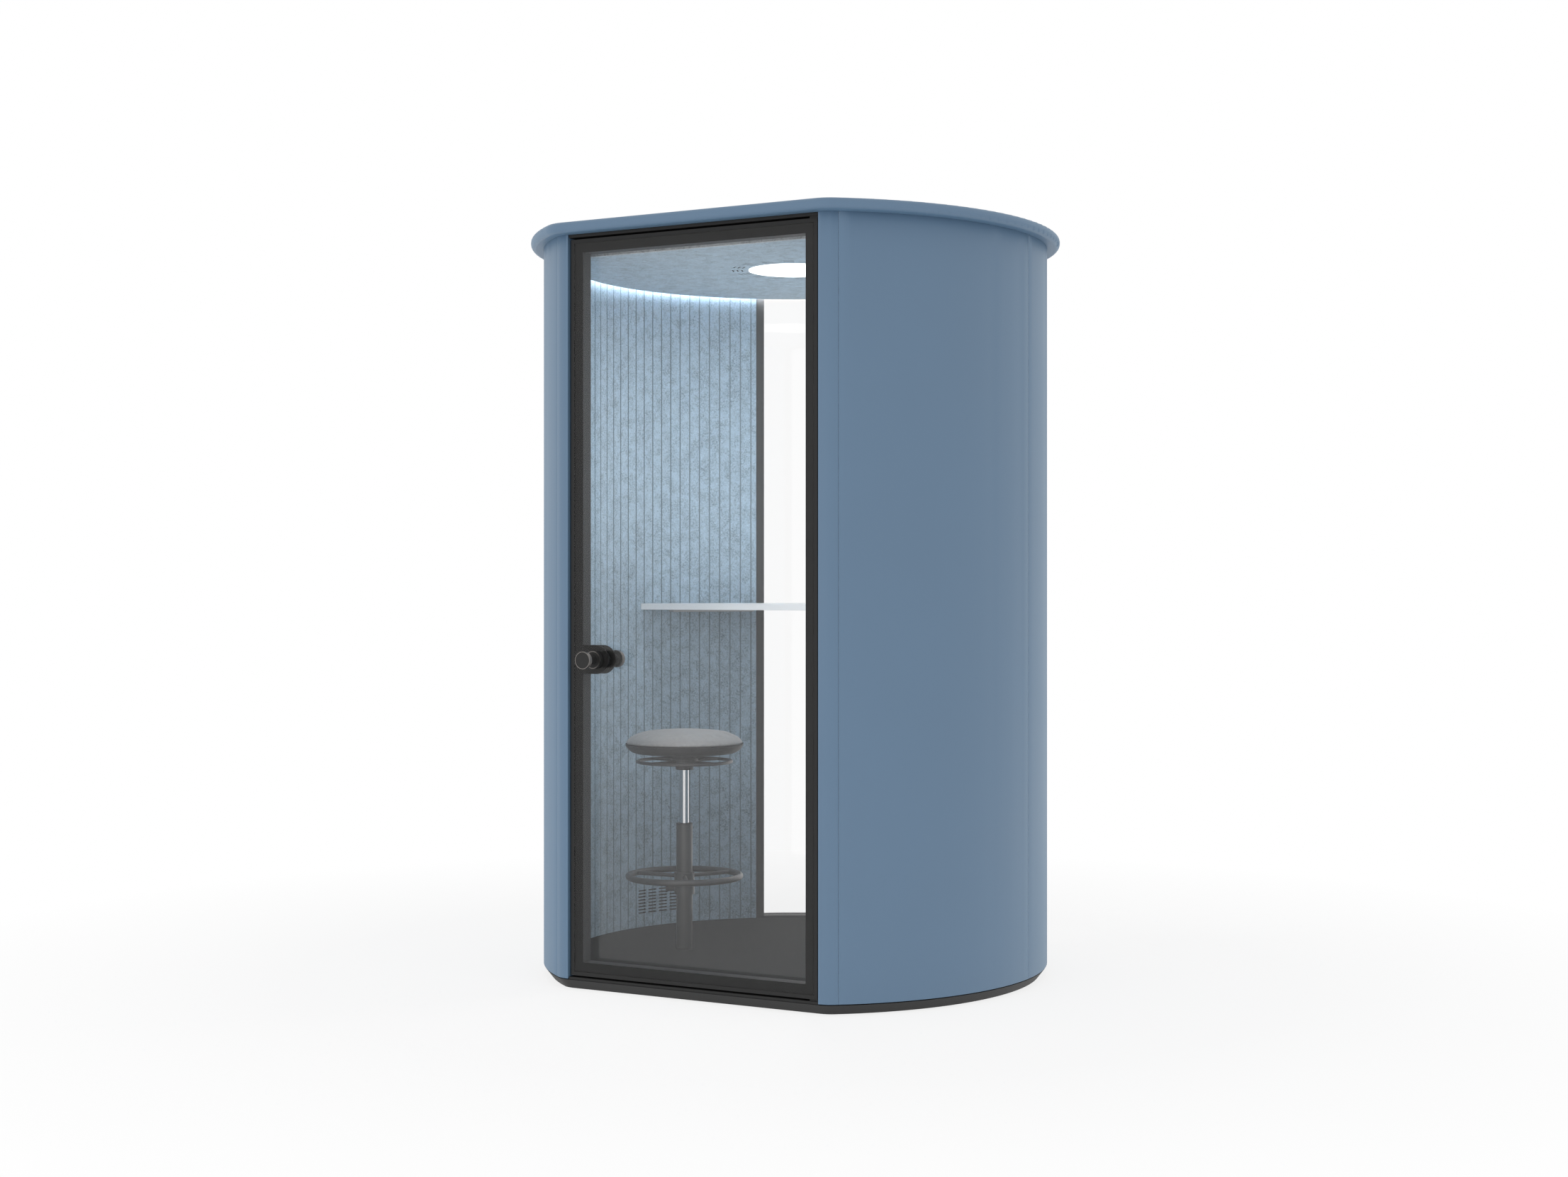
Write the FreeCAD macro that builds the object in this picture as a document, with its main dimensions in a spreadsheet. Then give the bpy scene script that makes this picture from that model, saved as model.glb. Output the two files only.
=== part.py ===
import FreeCAD, Part
import math
import os
import re

import Sketcher

# A one-person round office pod with a hinged glass door, a desk and a stool.
# The origin is on the ground at the centre of the round plan.
# +X is to the right seen from the door, +Y to the back and +Z up. Lengths are in millimetres.

SIZES = {
    # Plan of the shell, with angles from the front or the back axis
    "wall_radius": "760",
    "jamb_width": "23.5",
    "pillar_return": "27.9",
    "corner_radius": "60",
    "window_angle": "39",
    "seam_gap_angle": "0.14",
    "wall_depth": "69",
    "panel_thickness": "19",
    "felt_thickness": "12",
    "layer_gap": "0.3",
    "groove_angle": "3",
    "groove_width": "4",
    "groove_depth": "4",
    "cut_overrun": "5",
    # Base and floor
    "ground_gap": "2",
    "plinth_top": "29",
    "plinth_inset": "2",
    "plinth_taper": "21",
    "plinth_skirt": "40",
    "plinth_cover": "9",
    "shadow_gap": "3",
    "wall_top": "2171",
    "deck_thickness": "16",
    "carpet_thickness": "6",
    "floor_gap": "1",
    "floor_corner": "8",
    "foot_radius": "25",
    "foot_pad": "6",
    "foot_bevel": "4",
    "foot_stem_radius": "6",
    "foot_setback": "240",
    # Roof and ceiling
    "roof_thickness": "32",
    "roof_overhang": "38",
    "roof_nose": "15",
    "intake_slot_length": "96",
    "intake_slot_width": "6",
    "intake_pitch": "14",
    "ceiling_drop": "50",
    "ceiling_thickness": "12",
    "ceiling_corner": "12",
    "cove_gap": "19",
    "ceiling_setback": "110",
    "fascia_thickness": "12",
    "carrier_inset": "6",
    "carrier_width": "40",
    "strip_thickness": "4",
    "strip_height": "10",
    "strip_rise": "4",
    "strip_sweep_angle": "270",
    "light_radius": "140",
    "light_gap": "0.5",
    "light_proud": "2",
    "diffuser_thickness": "6",
    "light_flange": "10",
    "light_flange_thickness": "3",
    "light_can_inset": "20",
    "light_can_height": "14",
    "air_slot_length": "32",
    "air_slot_width": "5",
    "air_ring_start": "161",
    "air_ring_pitch": "14",
    "driver_length": "150",
    "driver_width": "50",
    "driver_height": "24",
    "driver_left": "300",
    "driver_back": "220",
    "fan_size": "120",
    "fan_depth": "25",
    "fan_back": "330",
    "fan_bore_radius": "56",
    "fan_hub_radius": "19",
    "fan_boss_depth": "6",
    "fan_strut": "4",
    "fan_gap": "0.3",
    "fan_top_gap": "2",
    "blade_tip_gap": "2",
    "blade_thickness": "2",
    "blade_chord": "18",
    "blade_root": "3",
    # Air inlet low in the left wall
    "inlet_angle": "158.8",
    "inlet_bottom": "94",
    "inlet_row_pitch": "10.3",
    "inlet_column_pitch": "43",
    "inlet_slot_length": "34",
    "inlet_slot_height": "5",
    "inlet_channel_depth": "20",
    # Rear window
    "post_angle": "2.2",
    "rear_glass_thickness": "12",
    "rear_glass_inset": "17",
    "sill_rise": "6",
    "head_height": "37",
    "glazing_groove": "8",
    "glazing_gap": "0.5",
    # Door opening and leaf
    "door_opening": "812",
    "door_side_gap": "6",
    "header_height": "9",
    "door_top_gap": "6",
    "threshold_height": "8",
    "threshold_recess": "4",
    "door_bottom_gap": "5",
    "door_recess": "8",
    "pane_thickness": "6",
    "pane_spacing": "46",
    "frame_edge": "11",
    "frame_border": "38.5",
    "stop_width": "15",
    "stop_depth": "11",
    "seal_thickness": "2",
    "seal_gap": "1.6",
    "seal_width": "9",
    "seal_inset": "3",
    # Pull knob, the same on both faces
    "knob_inset": "84",
    "knob_height": "950",
    "tab_radius": "41",
    "tab_thickness": "1.5",
    "knob_radius": "25",
    "knob_ring": "2",
    "knob_disc_thickness": "12",
    "knob_face_recess": "0.5",
    "knob_reach": "68",
    "rosette_depth": "16",
    "rosette_ring_width": "3",
    "spindle_radius": "13",
    "spindle_gap": "0.3",
    "spacer_radius": "24",
    # Door pivots
    "pivot_inset": "10",
    "pivot_radius": "5",
    "pivot_gap": "0.3",
    "pivot_depth": "10",
    "bush_wall": "2",
    "bush_fit": "0.1",
    "shoe_length": "28",
    "shoe_width": "18",
    # Desk
    "desk_height": "1105",
    "desk_thickness": "20",
    "desk_front": "182",
    "desk_gap": "0.5",
    "ledger_width": "25",
    "ledger_thickness": "8",
    "ledger_start_angle": "25",
    "ledger_end_gap_angle": "1",
    # Stool column and gas lift
    "stool_left": "326",
    "stool_forward": "108",
    "flange_radius": "80",
    "flange_thickness": "6",
    "flange_gap": "0.5",
    "column_radius": "25",
    "column_wall": "3",
    "column_top": "431",
    "sleeve_gap": "0.3",
    "bush_length": "80",
    "bush_cap": "4",
    "cylinder_radius": "14",
    "cylinder_wall": "3",
    "cylinder_cap": "10",
    "cylinder_bottom": "300",
    "cylinder_socket": "31",
    "rod_radius": "5",
    "rod_nut_radius": "9",
    "rod_nut_height": "10",
    "rod_top": "400",
    "piston_height": "12",
    # Stool seat
    "hub_bottom": "599",
    "hub_foot_radius": "27",
    "hub_foot_height": "13",
    "hub_ledge_radius": "41",
    "hub_ledge_height": "5",
    "hub_radius": "37",
    "hub_flare_radius": "55",
    "hub_flare_height": "6",
    "shell_bottom": "650",
    "shell_bottom_radius": "131",
    "shell_radius": "180",
    "shell_rim": "3",
    "seat_seam": "677",
    "cushion_radius": "179",
    "cushion_tuck": "2",
    "cushion_height": "43",
    # Ring lever under the seat
    "lever_radius": "143.5",
    "lever_tube": "5",
    "lever_spoke_radius": "4",
    "lever_sleeve_wall": "4",
    "lever_sleeve_height": "14",
    "lever_turn_angle": "-16.5",
    # Foot ring on the column
    "ring_height": "273",
    "ring_radius": "170.5",
    "ring_tube": "9.5",
    "ring_spoke_radius": "6",
    "ring_turn_angle": "-56.5",
    "collar_radius": "31",
    "collar_bottom": "218",
    "collar_top": "286",
    # Clamp screw in the collar
    "clamp_angle": "208.5",
    "clamp_height": "235",
    "clamp_shaft_radius": "4",
    "clamp_gap": "0.3",
    "clamp_head_radius": "7",
    "clamp_head_start": "34",
    "clamp_reach": "57",
    "wing_start": "41",
    "wing_root_half": "6",
    "wing_half": "13",
    "wing_thickness": "5",
}

# Counts of repeated pieces
OUTER_FEET = 6
INTAKE_SLOTS = 7
AIR_RINGS = 3
AIR_SLOTS_ROUND = 16
INLET_ROWS = 8
INLET_COLUMNS = 4
FAN_STRUTS = 4
FAN_BLADES = 7
LEVER_SPOKES = 4
RING_SPOKES = 3

# Fan blade pitch in degrees, and the seat cushion's profile as shares of its radius and height
BLADE_PITCH = 35
BULGE_HEIGHT_SHARE = 0.14
SHOULDER_RADIUS_SHARE = 0.84
SHOULDER_HEIGHT_SHARE = 0.71
CROWN_RADIUS_SHARE = 0.5

# Sizes that follow from others: the flat front's chord leaves room for the doorway and its jambs
DERIVED = {
    "front_half": "(door_opening / 2 + jamb_width)",
    "front_reach": "sqrt(wall_radius ^ 2 - front_half ^ 2)",
    "seam_angle": "(asin((front_half + pillar_return) / wall_radius) / 1 deg)",
    "ceiling_underside": "(wall_top - ceiling_drop)",
    "foot_circle": "(wall_radius - foot_setback)",
}

# Places that several pieces share, written in the sheet's sizes
INNER_RADIUS = "(wall_radius - wall_depth)"
FLOOR_RADIUS = f"({INNER_RADIUS} - floor_gap)"
CARPET_TOP = "(plinth_top + deck_thickness + carpet_thickness)"
DECK_TOP = "(plinth_top + deck_thickness)"
WALL_HEIGHT = "(wall_top - plinth_top)"
SIDE_SWEEP = "(180 - seam_angle - window_angle)"
RIGHT_START = "(seam_angle - 90)"
LEFT_START = "(90 + window_angle)"
LEAF_HALF = "(door_opening / 2 - door_side_gap)"
LEAF_BOTTOM = "(plinth_top + threshold_height + door_bottom_gap)"
LEAF_TOP = "(wall_top - header_height - door_top_gap)"
LEAF_FACE = "(door_recess - front_reach)"
LEAF_DEPTH = "(pane_spacing + pane_thickness)"
LEAF_BACK = f"({LEAF_FACE} + {LEAF_DEPTH})"
STOP_FACE = f"({LEAF_BACK} + seal_gap + seal_thickness)"
FLOOR_FRONT = f"(0 - {STOP_FACE} - stop_depth)"
HEADER_BOTTOM = "(wall_top - header_height)"
KNOB_X = f"(knob_inset - {LEAF_HALF})"
PIVOT_X = f"({LEAF_HALF} - pivot_inset)"
PIVOT_Y = f"({LEAF_FACE} + pivot_inset)"
CEILING_TOP = "(ceiling_underside + ceiling_thickness)"
CEILING_RADIUS = f"({INNER_RADIUS} - cove_gap)"
CEILING_FRONT = "(front_reach - ceiling_setback - fascia_thickness)"
CARRIER_RADIUS = f"({CEILING_RADIUS} - carrier_inset)"
CARRIER_FRONT = f"({CEILING_FRONT} - carrier_inset)"
STOOL_X = "(0 - stool_left)"
STOOL_Y = "(0 - stool_forward)"
HUB_LEDGE_TOP = "(hub_bottom + hub_foot_height + hub_ledge_height)"
LEVER_HEIGHT = f"({HUB_LEDGE_TOP} + lever_sleeve_height / 2)"

ORIGIN = FreeCAD.Vector(0, 0, 0)
SIDEWAYS = FreeCAD.Vector(1, 0, 0)
BACKWARDS = FreeCAD.Vector(0, 1, 0)
UP = FreeCAD.Vector(0, 0, 1)
WORD = re.compile(r"[a-z]+(?:_[a-z]+)*")

doc = FreeCAD.newDocument("OfficePod")
sheet = doc.addObject("Spreadsheet::Sheet", "Sizes")
for row, (alias, value) in enumerate(SIZES.items(), start=1):
    sheet.set(f"A{row}", alias)
    sheet.set(f"B{row}", value)
    sheet.setAlias(f"B{row}", alias)
gauge_block = doc.addObject("App::FeaturePython", "Gauge")
gauge_block.addProperty("App::PropertyFloat", "Reading")
doc.recompute()

sub_parts = []


def in_cells(rule):
    """Write a rule's size names as cells of the sheet."""

    def cell(found):
        word = found[0]
        if word in DERIVED:
            return in_cells(DERIVED[word])
        return f"Sizes.{word}" if word in SIZES else word

    return WORD.sub(cell, rule)


def bind(item, prop, rule):
    """Tie one property of an object to a rule written in size names."""
    item.setExpression(prop, in_cells(rule))


def gauge(rule):
    """Work out a rule as a number."""
    bind(gauge_block, "Reading", rule)
    gauge_block.recompute()
    return gauge_block.Reading


def name_part(item, label):
    """Make an object one of the pod's sub-parts under its own name."""
    item.Label = label
    sub_parts.append(item)
    return item


def place(item, x="0", y="0", z="0", turn=None):
    """Tie an object's place, and its turn about the upright axis, to rules."""
    if turn is not None:
        item.Placement = FreeCAD.Placement(ORIGIN, FreeCAD.Rotation(UP, 1))
        bind(item, "Placement.Rotation.Angle", turn)
    for axis, rule in zip("xyz", (x, y, z)):
        bind(item, f"Placement.Base.{axis}", rule)
    return item


def box(name, length, width, height, x="0", y="0", z="0"):
    """A box from its lowest corner."""
    item = doc.addObject("Part::Box", name)
    bind(item, "Length", length)
    bind(item, "Width", width)
    bind(item, "Height", height)
    return place(item, x, y, z)


def middle_box(name, length, width, height, y, z):
    """A box that is centred across the pod."""
    return box(name, length, width, height, f"0 - ({length}) / 2", y, z)


def cylinder(name, radius, height, x="0", y="0", z="0", sweep=None, turn=None):
    """An upright cylinder, or a slice of one."""
    item = doc.addObject("Part::Cylinder", name)
    bind(item, "Radius", radius)
    bind(item, "Height", height)
    if sweep is not None:
        bind(item, "Angle", sweep)
    return place(item, x, y, z, turn)


def lying_cylinder(name, radius, depth, x, y, z, rotation):
    """A cylinder that lies along a fixed direction."""
    item = doc.addObject("Part::Cylinder", name)
    bind(item, "Radius", radius)
    bind(item, "Height", depth)
    item.Placement = FreeCAD.Placement(ORIGIN, rotation)
    return place(item, x, y, z)


def knob_cylinder(name, radius, depth, y):
    """A cylinder on the knob's axis that runs backwards from y."""
    return lying_cylinder(name, radius, depth, KNOB_X, y, "knob_height", FreeCAD.Rotation(SIDEWAYS, -90))


def cut(name, base, tool):
    """One object less another."""
    item = doc.addObject("Part::Cut", name)
    item.Base = base
    item.Tool = tool
    return item


def common(name, base, tool):
    """What two objects share."""
    item = doc.addObject("Part::Common", name)
    item.Base = base
    item.Tool = tool
    return item


def fuse(name, pieces):
    """Several shapes joined into one solid."""
    item = doc.addObject("Part::MultiFuse", name)
    item.Shapes = pieces
    return item


def group(name, pieces):
    """Several separate solids in one object."""
    item = doc.addObject("Part::Compound", name)
    item.Links = pieces
    return item


def tube(name, outer, inner, height, x="0", y="0", z="0"):
    """An upright tube."""
    wall = cylinder(f"{name}_outside", outer, height, x, y, z)
    return cut(name, wall, cylinder(f"{name}_bore", inner, height, x, y, z))


def sector(name, outer, inner, bottom, height, start, sweep):
    """A slice of a round wall about the plan's centre."""
    wall = cylinder(f"{name}_outside", outer, height, z=bottom, sweep=sweep, turn=start)
    return cut(name, wall, cylinder(f"{name}_bore", inner, height, z=bottom))


def radial_box(name, angle, inner, length, width, bottom, height):
    """A box that points away from the plan's centre, centred on its own angle."""
    item = doc.addObject("Part::Box", name)
    bind(item, "Length", length)
    bind(item, "Width", width)
    bind(item, "Height", height)
    x = f"({inner}) * cos({angle}) + ({width}) / 2 * sin({angle})"
    y = f"({inner}) * sin({angle}) - ({width}) / 2 * cos({angle})"
    return place(item, x, y, bottom, angle)


def spoke(name, radius, inner, length, angle, height):
    """A round bar that points away from the stool's axis."""
    lay_flat = FreeCAD.Rotation(UP, gauge(angle)).multiply(FreeCAD.Rotation(BACKWARDS, 90))
    x = f"{STOOL_X} + ({inner}) * cos({angle})"
    y = f"{STOOL_Y} + ({inner}) * sin({angle})"
    return lying_cylinder(name, radius, length, x, y, height, lay_flat)


def new_sketch(body, name, role):
    """A sketch on one of a body's own planes."""
    sketch = body.newObject("Sketcher::SketchObject", name)
    plane = [feature for feature in body.Origin.OriginFeatures if feature.Role == role][0]
    sketch.AttachmentSupport = [(plane, "")]
    sketch.MapMode = "FlatFace"
    return sketch


def dimension(sketch, kind, places, rule):
    """Give a sketch a dimension that follows a rule."""
    number = sketch.addConstraint(Sketcher.Constraint(kind, *places, gauge(rule)))
    bind(sketch, f"Constraints[{number}]", rule)


def draw_outline(sketch, corners):
    """Draw a closed outline of straight lines through corners given as rules."""
    spots = [FreeCAD.Vector(gauge(across), gauge(along), 0) for across, along in corners]
    count = len(spots)
    for index in range(count):
        sketch.addGeometry(Part.LineSegment(spots[index], spots[(index + 1) % count]))
    for index in range(count):
        sketch.addConstraint(Sketcher.Constraint("Coincident", index, 2, (index + 1) % count, 1))
    for index, (across, along) in enumerate(corners):
        if across == "0":
            sketch.addConstraint(Sketcher.Constraint("PointOnObject", index, 1, -2))
        else:
            dimension(sketch, "DistanceX", (-1, 1, index, 1), across)
        if along == "0":
            sketch.addConstraint(Sketcher.Constraint("PointOnObject", index, 1, -1))
        else:
            dimension(sketch, "DistanceY", (-1, 1, index, 1), along)


def turned(name, corners, x="0", y="0", z="0"):
    """A body turned about an upright axis from corners of radius and height."""
    body = doc.addObject("PartDesign::Body", name)
    sketch = new_sketch(body, f"{name}_profile", "XZ_Plane")
    draw_outline(sketch, corners)
    turn = body.newObject("PartDesign::Revolution", f"{name}_turn")
    turn.Profile = sketch
    turn.ReferenceAxis = (sketch, ["V_Axis"])
    turn.Angle = 360
    return place(body, x, y, z)


def draw_plan(sketch, radius, front, corner):
    """Draw the round plan cut off by its flat front, with rounded corners."""
    big, flat, small = gauge(radius), gauge(front), gauge(corner)
    aside = math.sqrt((big - small) ** 2 - (flat - small) ** 2)
    meet = math.atan2(small - flat, aside)
    left = FreeCAD.Vector(-aside, small - flat, 0)
    right = FreeCAD.Vector(aside, small - flat, 0)
    down = FreeCAD.Vector(0, -small, 0)
    quarter = math.pi / 2
    sketch.addGeometry(Part.ArcOfCircle(Part.Circle(ORIGIN, UP, big), meet, math.pi - meet))
    sketch.addGeometry(Part.ArcOfCircle(Part.Circle(left, UP, small), math.pi - meet, 3 * quarter))
    sketch.addGeometry(Part.LineSegment(left + down, right + down))
    sketch.addGeometry(Part.ArcOfCircle(Part.Circle(right, UP, small), 3 * quarter, 4 * quarter + meet))
    for piece in range(4):
        sketch.addConstraint(Sketcher.Constraint("Tangent", piece, 2, (piece + 1) % 4, 1))
    sketch.addConstraint(Sketcher.Constraint("Coincident", 0, 3, -1, 1))
    sketch.addConstraint(Sketcher.Constraint("Horizontal", 2))
    dimension(sketch, "Radius", (0,), radius)
    dimension(sketch, "Radius", (1,), corner)
    dimension(sketch, "Radius", (3,), corner)
    dimension(sketch, "DistanceY", (2, 1, -1, 1), front)


def draw_hole(sketch, radius):
    """Draw a round hole at the plan's centre."""
    ring = sketch.addGeometry(Part.Circle(ORIGIN, UP, gauge(radius)))
    sketch.addConstraint(Sketcher.Constraint("Coincident", ring, 3, -1, 1))
    dimension(sketch, "Radius", (ring,), radius)


def plan_plate(name, radius, front, corner, bottom, thickness, hole=None):
    """A flat plate of the pod's plan."""
    body = doc.addObject("PartDesign::Body", name)
    sketch = new_sketch(body, f"{name}_plan", "XY_Plane")
    draw_plan(sketch, radius, front, corner)
    if hole is not None:
        draw_hole(sketch, hole)
    pad = body.newObject("PartDesign::Pad", f"{name}_pad")
    pad.Profile = sketch
    bind(pad, "Length", thickness)
    return place(body, z=bottom)


def make_base():
    """Levelling feet, plinth, threshold, deck and carpet."""
    feet = []
    stem_height = "plinth_top - plinth_cover - foot_pad"
    for index in range(OUTER_FEET + 1):
        angle = f"({index} * 360 / {OUTER_FEET})"
        x = "0" if index == OUTER_FEET else f"foot_circle * cos{angle}"
        y = "0" if index == OUTER_FEET else f"foot_circle * sin{angle}"
        pad = doc.addObject("Part::Cone", f"foot_pad_{index}")
        bind(pad, "Radius1", "foot_radius")
        bind(pad, "Radius2", "foot_radius - foot_bevel")
        bind(pad, "Height", "foot_pad")
        place(pad, x, y)
        stem = cylinder(f"foot_stem_{index}", "foot_stem_radius", stem_height, x, y, "foot_pad")
        feet.append(fuse(f"foot_{index}", [pad, stem]))
    name_part(group("feet", feet), "levelling_feet")

    body = doc.addObject("PartDesign::Body", "plinth_body")
    low_sketch = new_sketch(body, "plinth_low", "XY_Plane")
    bind(low_sketch, "AttachmentOffset.Base.z", "ground_gap")
    low_inset = "(plinth_inset + plinth_taper)"
    draw_plan(low_sketch, f"wall_radius - {low_inset}", f"front_reach - {low_inset}", "corner_radius")
    high_sketch = new_sketch(body, "plinth_high", "XY_Plane")
    bind(high_sketch, "AttachmentOffset.Base.z", "plinth_top")
    draw_plan(high_sketch, "wall_radius - plinth_inset", "front_reach - plinth_inset", "corner_radius")
    loft = body.newObject("PartDesign::AdditiveLoft", "plinth_loft")
    loft.Profile = low_sketch
    loft.Sections = [high_sketch]
    loft.Ruled = True
    hollow_inset = f"({low_inset} + plinth_skirt)"
    hollow = plan_plate(
        "plinth_hollow",
        f"wall_radius - {hollow_inset}",
        f"front_reach - {hollow_inset}",
        "corner_radius",
        "0",
        "plinth_top - plinth_cover",
    )
    name_part(cut("plinth", body, hollow), "base_plinth")

    step = middle_box(
        "threshold_step",
        "door_opening",
        f"front_reach - threshold_recess + {STOP_FACE}",
        "threshold_height",
        "threshold_recess - front_reach",
        "plinth_top",
    )
    lip = middle_box(
        "threshold_lip", "door_opening", "stop_depth", f"{CARPET_TOP} - plinth_top", STOP_FACE, "plinth_top"
    )
    name_part(fuse("threshold_bar", [step, lip]), "threshold")

    deck = plan_plate("deck", FLOOR_RADIUS, FLOOR_FRONT, "floor_corner", "plinth_top", "deck_thickness")
    recess = cylinder(
        "flange_recess",
        "flange_radius + flange_gap",
        "flange_thickness + cut_overrun",
        STOOL_X,
        STOOL_Y,
        f"{DECK_TOP} - flange_thickness",
    )
    name_part(cut("deck_cut", deck, recess), "floor_deck")

    carpet = plan_plate("carpet", FLOOR_RADIUS, FLOOR_FRONT, "floor_corner", DECK_TOP, "carpet_thickness")
    hole = cylinder(
        "carpet_hole",
        "column_radius + sleeve_gap",
        "carpet_thickness + 2 * cut_overrun",
        STOOL_X,
        STOOL_Y,
        f"{DECK_TOP} - cut_overrun",
    )
    name_part(cut("carpet_cut", carpet, hole), "floor_carpet")


def make_walls():
    """Outer panels, pillars, insulating cores and grooved felt."""
    panel_inner = "wall_radius - panel_thickness"
    panel_bottom = "plinth_top + shadow_gap"
    panel_height = f"{WALL_HEIGHT} - shadow_gap"
    front_sweep = "(90 - seam_angle)"
    rear_sweep = "(90 - window_angle)"
    panels = {
        "outer_panel_front_right": (RIGHT_START, front_sweep),
        "outer_panel_front_left": ("180", front_sweep),
        "outer_panel_rear_right": ("0", rear_sweep),
        "outer_panel_rear_left": (LEFT_START, rear_sweep),
    }
    for label, (start, sweep) in panels.items():
        panel = sector(
            f"{label}_wall",
            "wall_radius",
            panel_inner,
            panel_bottom,
            panel_height,
            f"{start} + seam_gap_angle / 2",
            f"{sweep} - seam_gap_angle",
        )
        name_part(panel, label)

    blank = plan_plate(
        "pillar_blank", "wall_radius", "front_reach", "corner_radius", panel_bottom, panel_height
    )
    for side, start in (("right", "270"), ("left", "(270 - seam_angle)")):
        slice_height = f"{panel_height} + 2 * cut_overrun"
        slice_bottom = f"{panel_bottom} - cut_overrun"
        keep = cylinder(
            f"pillar_slice_{side}",
            "2 * wall_radius",
            slice_height,
            z=slice_bottom,
            sweep="seam_angle",
            turn=start,
        )
        room = cylinder(f"pillar_room_{side}", INNER_RADIUS, slice_height, z=slice_bottom)
        doorway = middle_box(
            f"pillar_doorway_{side}",
            "door_opening",
            "front_reach + cut_overrun",
            slice_height,
            "0 - front_reach - cut_overrun",
            slice_bottom,
        )
        shaft = common(f"pillar_shaft_{side}", blank, keep)
        jamb = cut(f"pillar_jamb_{side}", shaft, doorway)
        name_part(cut(f"pillar_{side}", jamb, room), f"front_pillar_{side}")

    felt_outer = f"{INNER_RADIUS} + felt_thickness"
    core_inner = f"{felt_outer} + layer_gap"
    core_outer = "wall_radius - panel_thickness - layer_gap"
    grooves = int(gauge(SIDE_SWEEP) / gauge("groove_angle"))
    for side, start in (("right", RIGHT_START), ("left", LEFT_START)):
        core = sector(f"core_{side}", core_outer, core_inner, "plinth_top", WALL_HEIGHT, start, SIDE_SWEEP)
        felt = sector(f"felt_{side}", felt_outer, INNER_RADIUS, "plinth_top", WALL_HEIGHT, start, SIDE_SWEEP)
        tools = [
            radial_box(
                f"groove_{side}_{index}",
                f"({start} + groove_angle * {index + 1} - groove_angle / 2)",
                f"{INNER_RADIUS} - cut_overrun",
                "groove_depth + cut_overrun",
                "groove_width",
                "plinth_top - cut_overrun",
                f"{WALL_HEIGHT} + 2 * cut_overrun",
            )
            for index in range(grooves)
        ]
        if side == "left":
            tools += inlet_slots()
            core = cut("core_channel", core, inlet_channel(core_inner))
        name_part(core, f"wall_core_{side}")
        name_part(cut(f"felt_grooved_{side}", felt, group(f"felt_cuts_{side}", tools)), f"felt_wall_{side}")


def inlet_slots():
    """Cutters for the rows of short air slots low in the left felt."""
    step = f"(inlet_column_pitch / {INNER_RADIUS} * 180 / pi)"
    slots = []
    for column in range(INLET_COLUMNS):
        angle = f"(inlet_angle + {column - (INLET_COLUMNS - 1) / 2} * {step})"
        for row_number in range(INLET_ROWS):
            slot = radial_box(
                f"inlet_{column}_{row_number}",
                angle,
                f"{INNER_RADIUS} - cut_overrun",
                "felt_thickness + 2 * cut_overrun",
                "inlet_slot_length",
                f"inlet_bottom + inlet_row_pitch * {row_number}",
                "inlet_slot_height",
            )
            slots.append(slot)
    return slots


def inlet_channel(core_inner):
    """Cutter for the air channel in the left core, from the plinth up behind the slots."""
    return radial_box(
        "inlet_channel",
        "inlet_angle",
        f"{core_inner} - 2 * cut_overrun",
        "inlet_channel_depth + 2 * cut_overrun",
        f"inlet_column_pitch * {INLET_COLUMNS}",
        "plinth_top - cut_overrun",
        f"inlet_bottom + inlet_row_pitch * {INLET_ROWS} - plinth_top + cut_overrun",
    )


def make_rear_window():
    """Posts, sill, head and the curved pane between them."""
    for side, start in (("right", "(90 - window_angle)"), ("left", f"({LEFT_START} - post_angle)")):
        post = sector(
            f"post_{side}", "wall_radius", INNER_RADIUS, "plinth_top", WALL_HEIGHT, start, "post_angle"
        )
        name_part(post, f"rear_post_{side}")
    start = "(90 - window_angle + post_angle)"
    sweep = "(2 * window_angle - 2 * post_angle)"
    sill_top = f"({CARPET_TOP} + sill_rise)"
    head_bottom = "(wall_top - head_height)"
    glass_outer = "wall_radius - rear_glass_inset"
    glass_inner = "wall_radius - rear_glass_inset - rear_glass_thickness"
    rails = {
        "rear_sill": ("plinth_top", f"{sill_top} - plinth_top", f"{sill_top} - glazing_groove"),
        "rear_head": (head_bottom, "head_height", f"{head_bottom} - cut_overrun"),
    }
    for label, (bottom, height, groove_bottom) in rails.items():
        rail = sector(f"{label}_rail", "wall_radius", INNER_RADIUS, bottom, height, start, sweep)
        groove = tube(
            f"{label}_groove",
            f"{glass_outer} + glazing_gap",
            f"{glass_inner} - glazing_gap",
            "glazing_groove + cut_overrun",
            z=groove_bottom,
        )
        name_part(cut(f"{label}_grooved", rail, groove), label)
    glass = sector(
        "rear_pane",
        glass_outer,
        glass_inner,
        f"{sill_top} - glazing_groove",
        f"{head_bottom} - {sill_top} + 2 * glazing_groove - glazing_gap",
        f"{start} + seam_gap_angle / 2",
        f"{sweep} - seam_gap_angle",
    )
    name_part(glass, "rear_glass")


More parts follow.
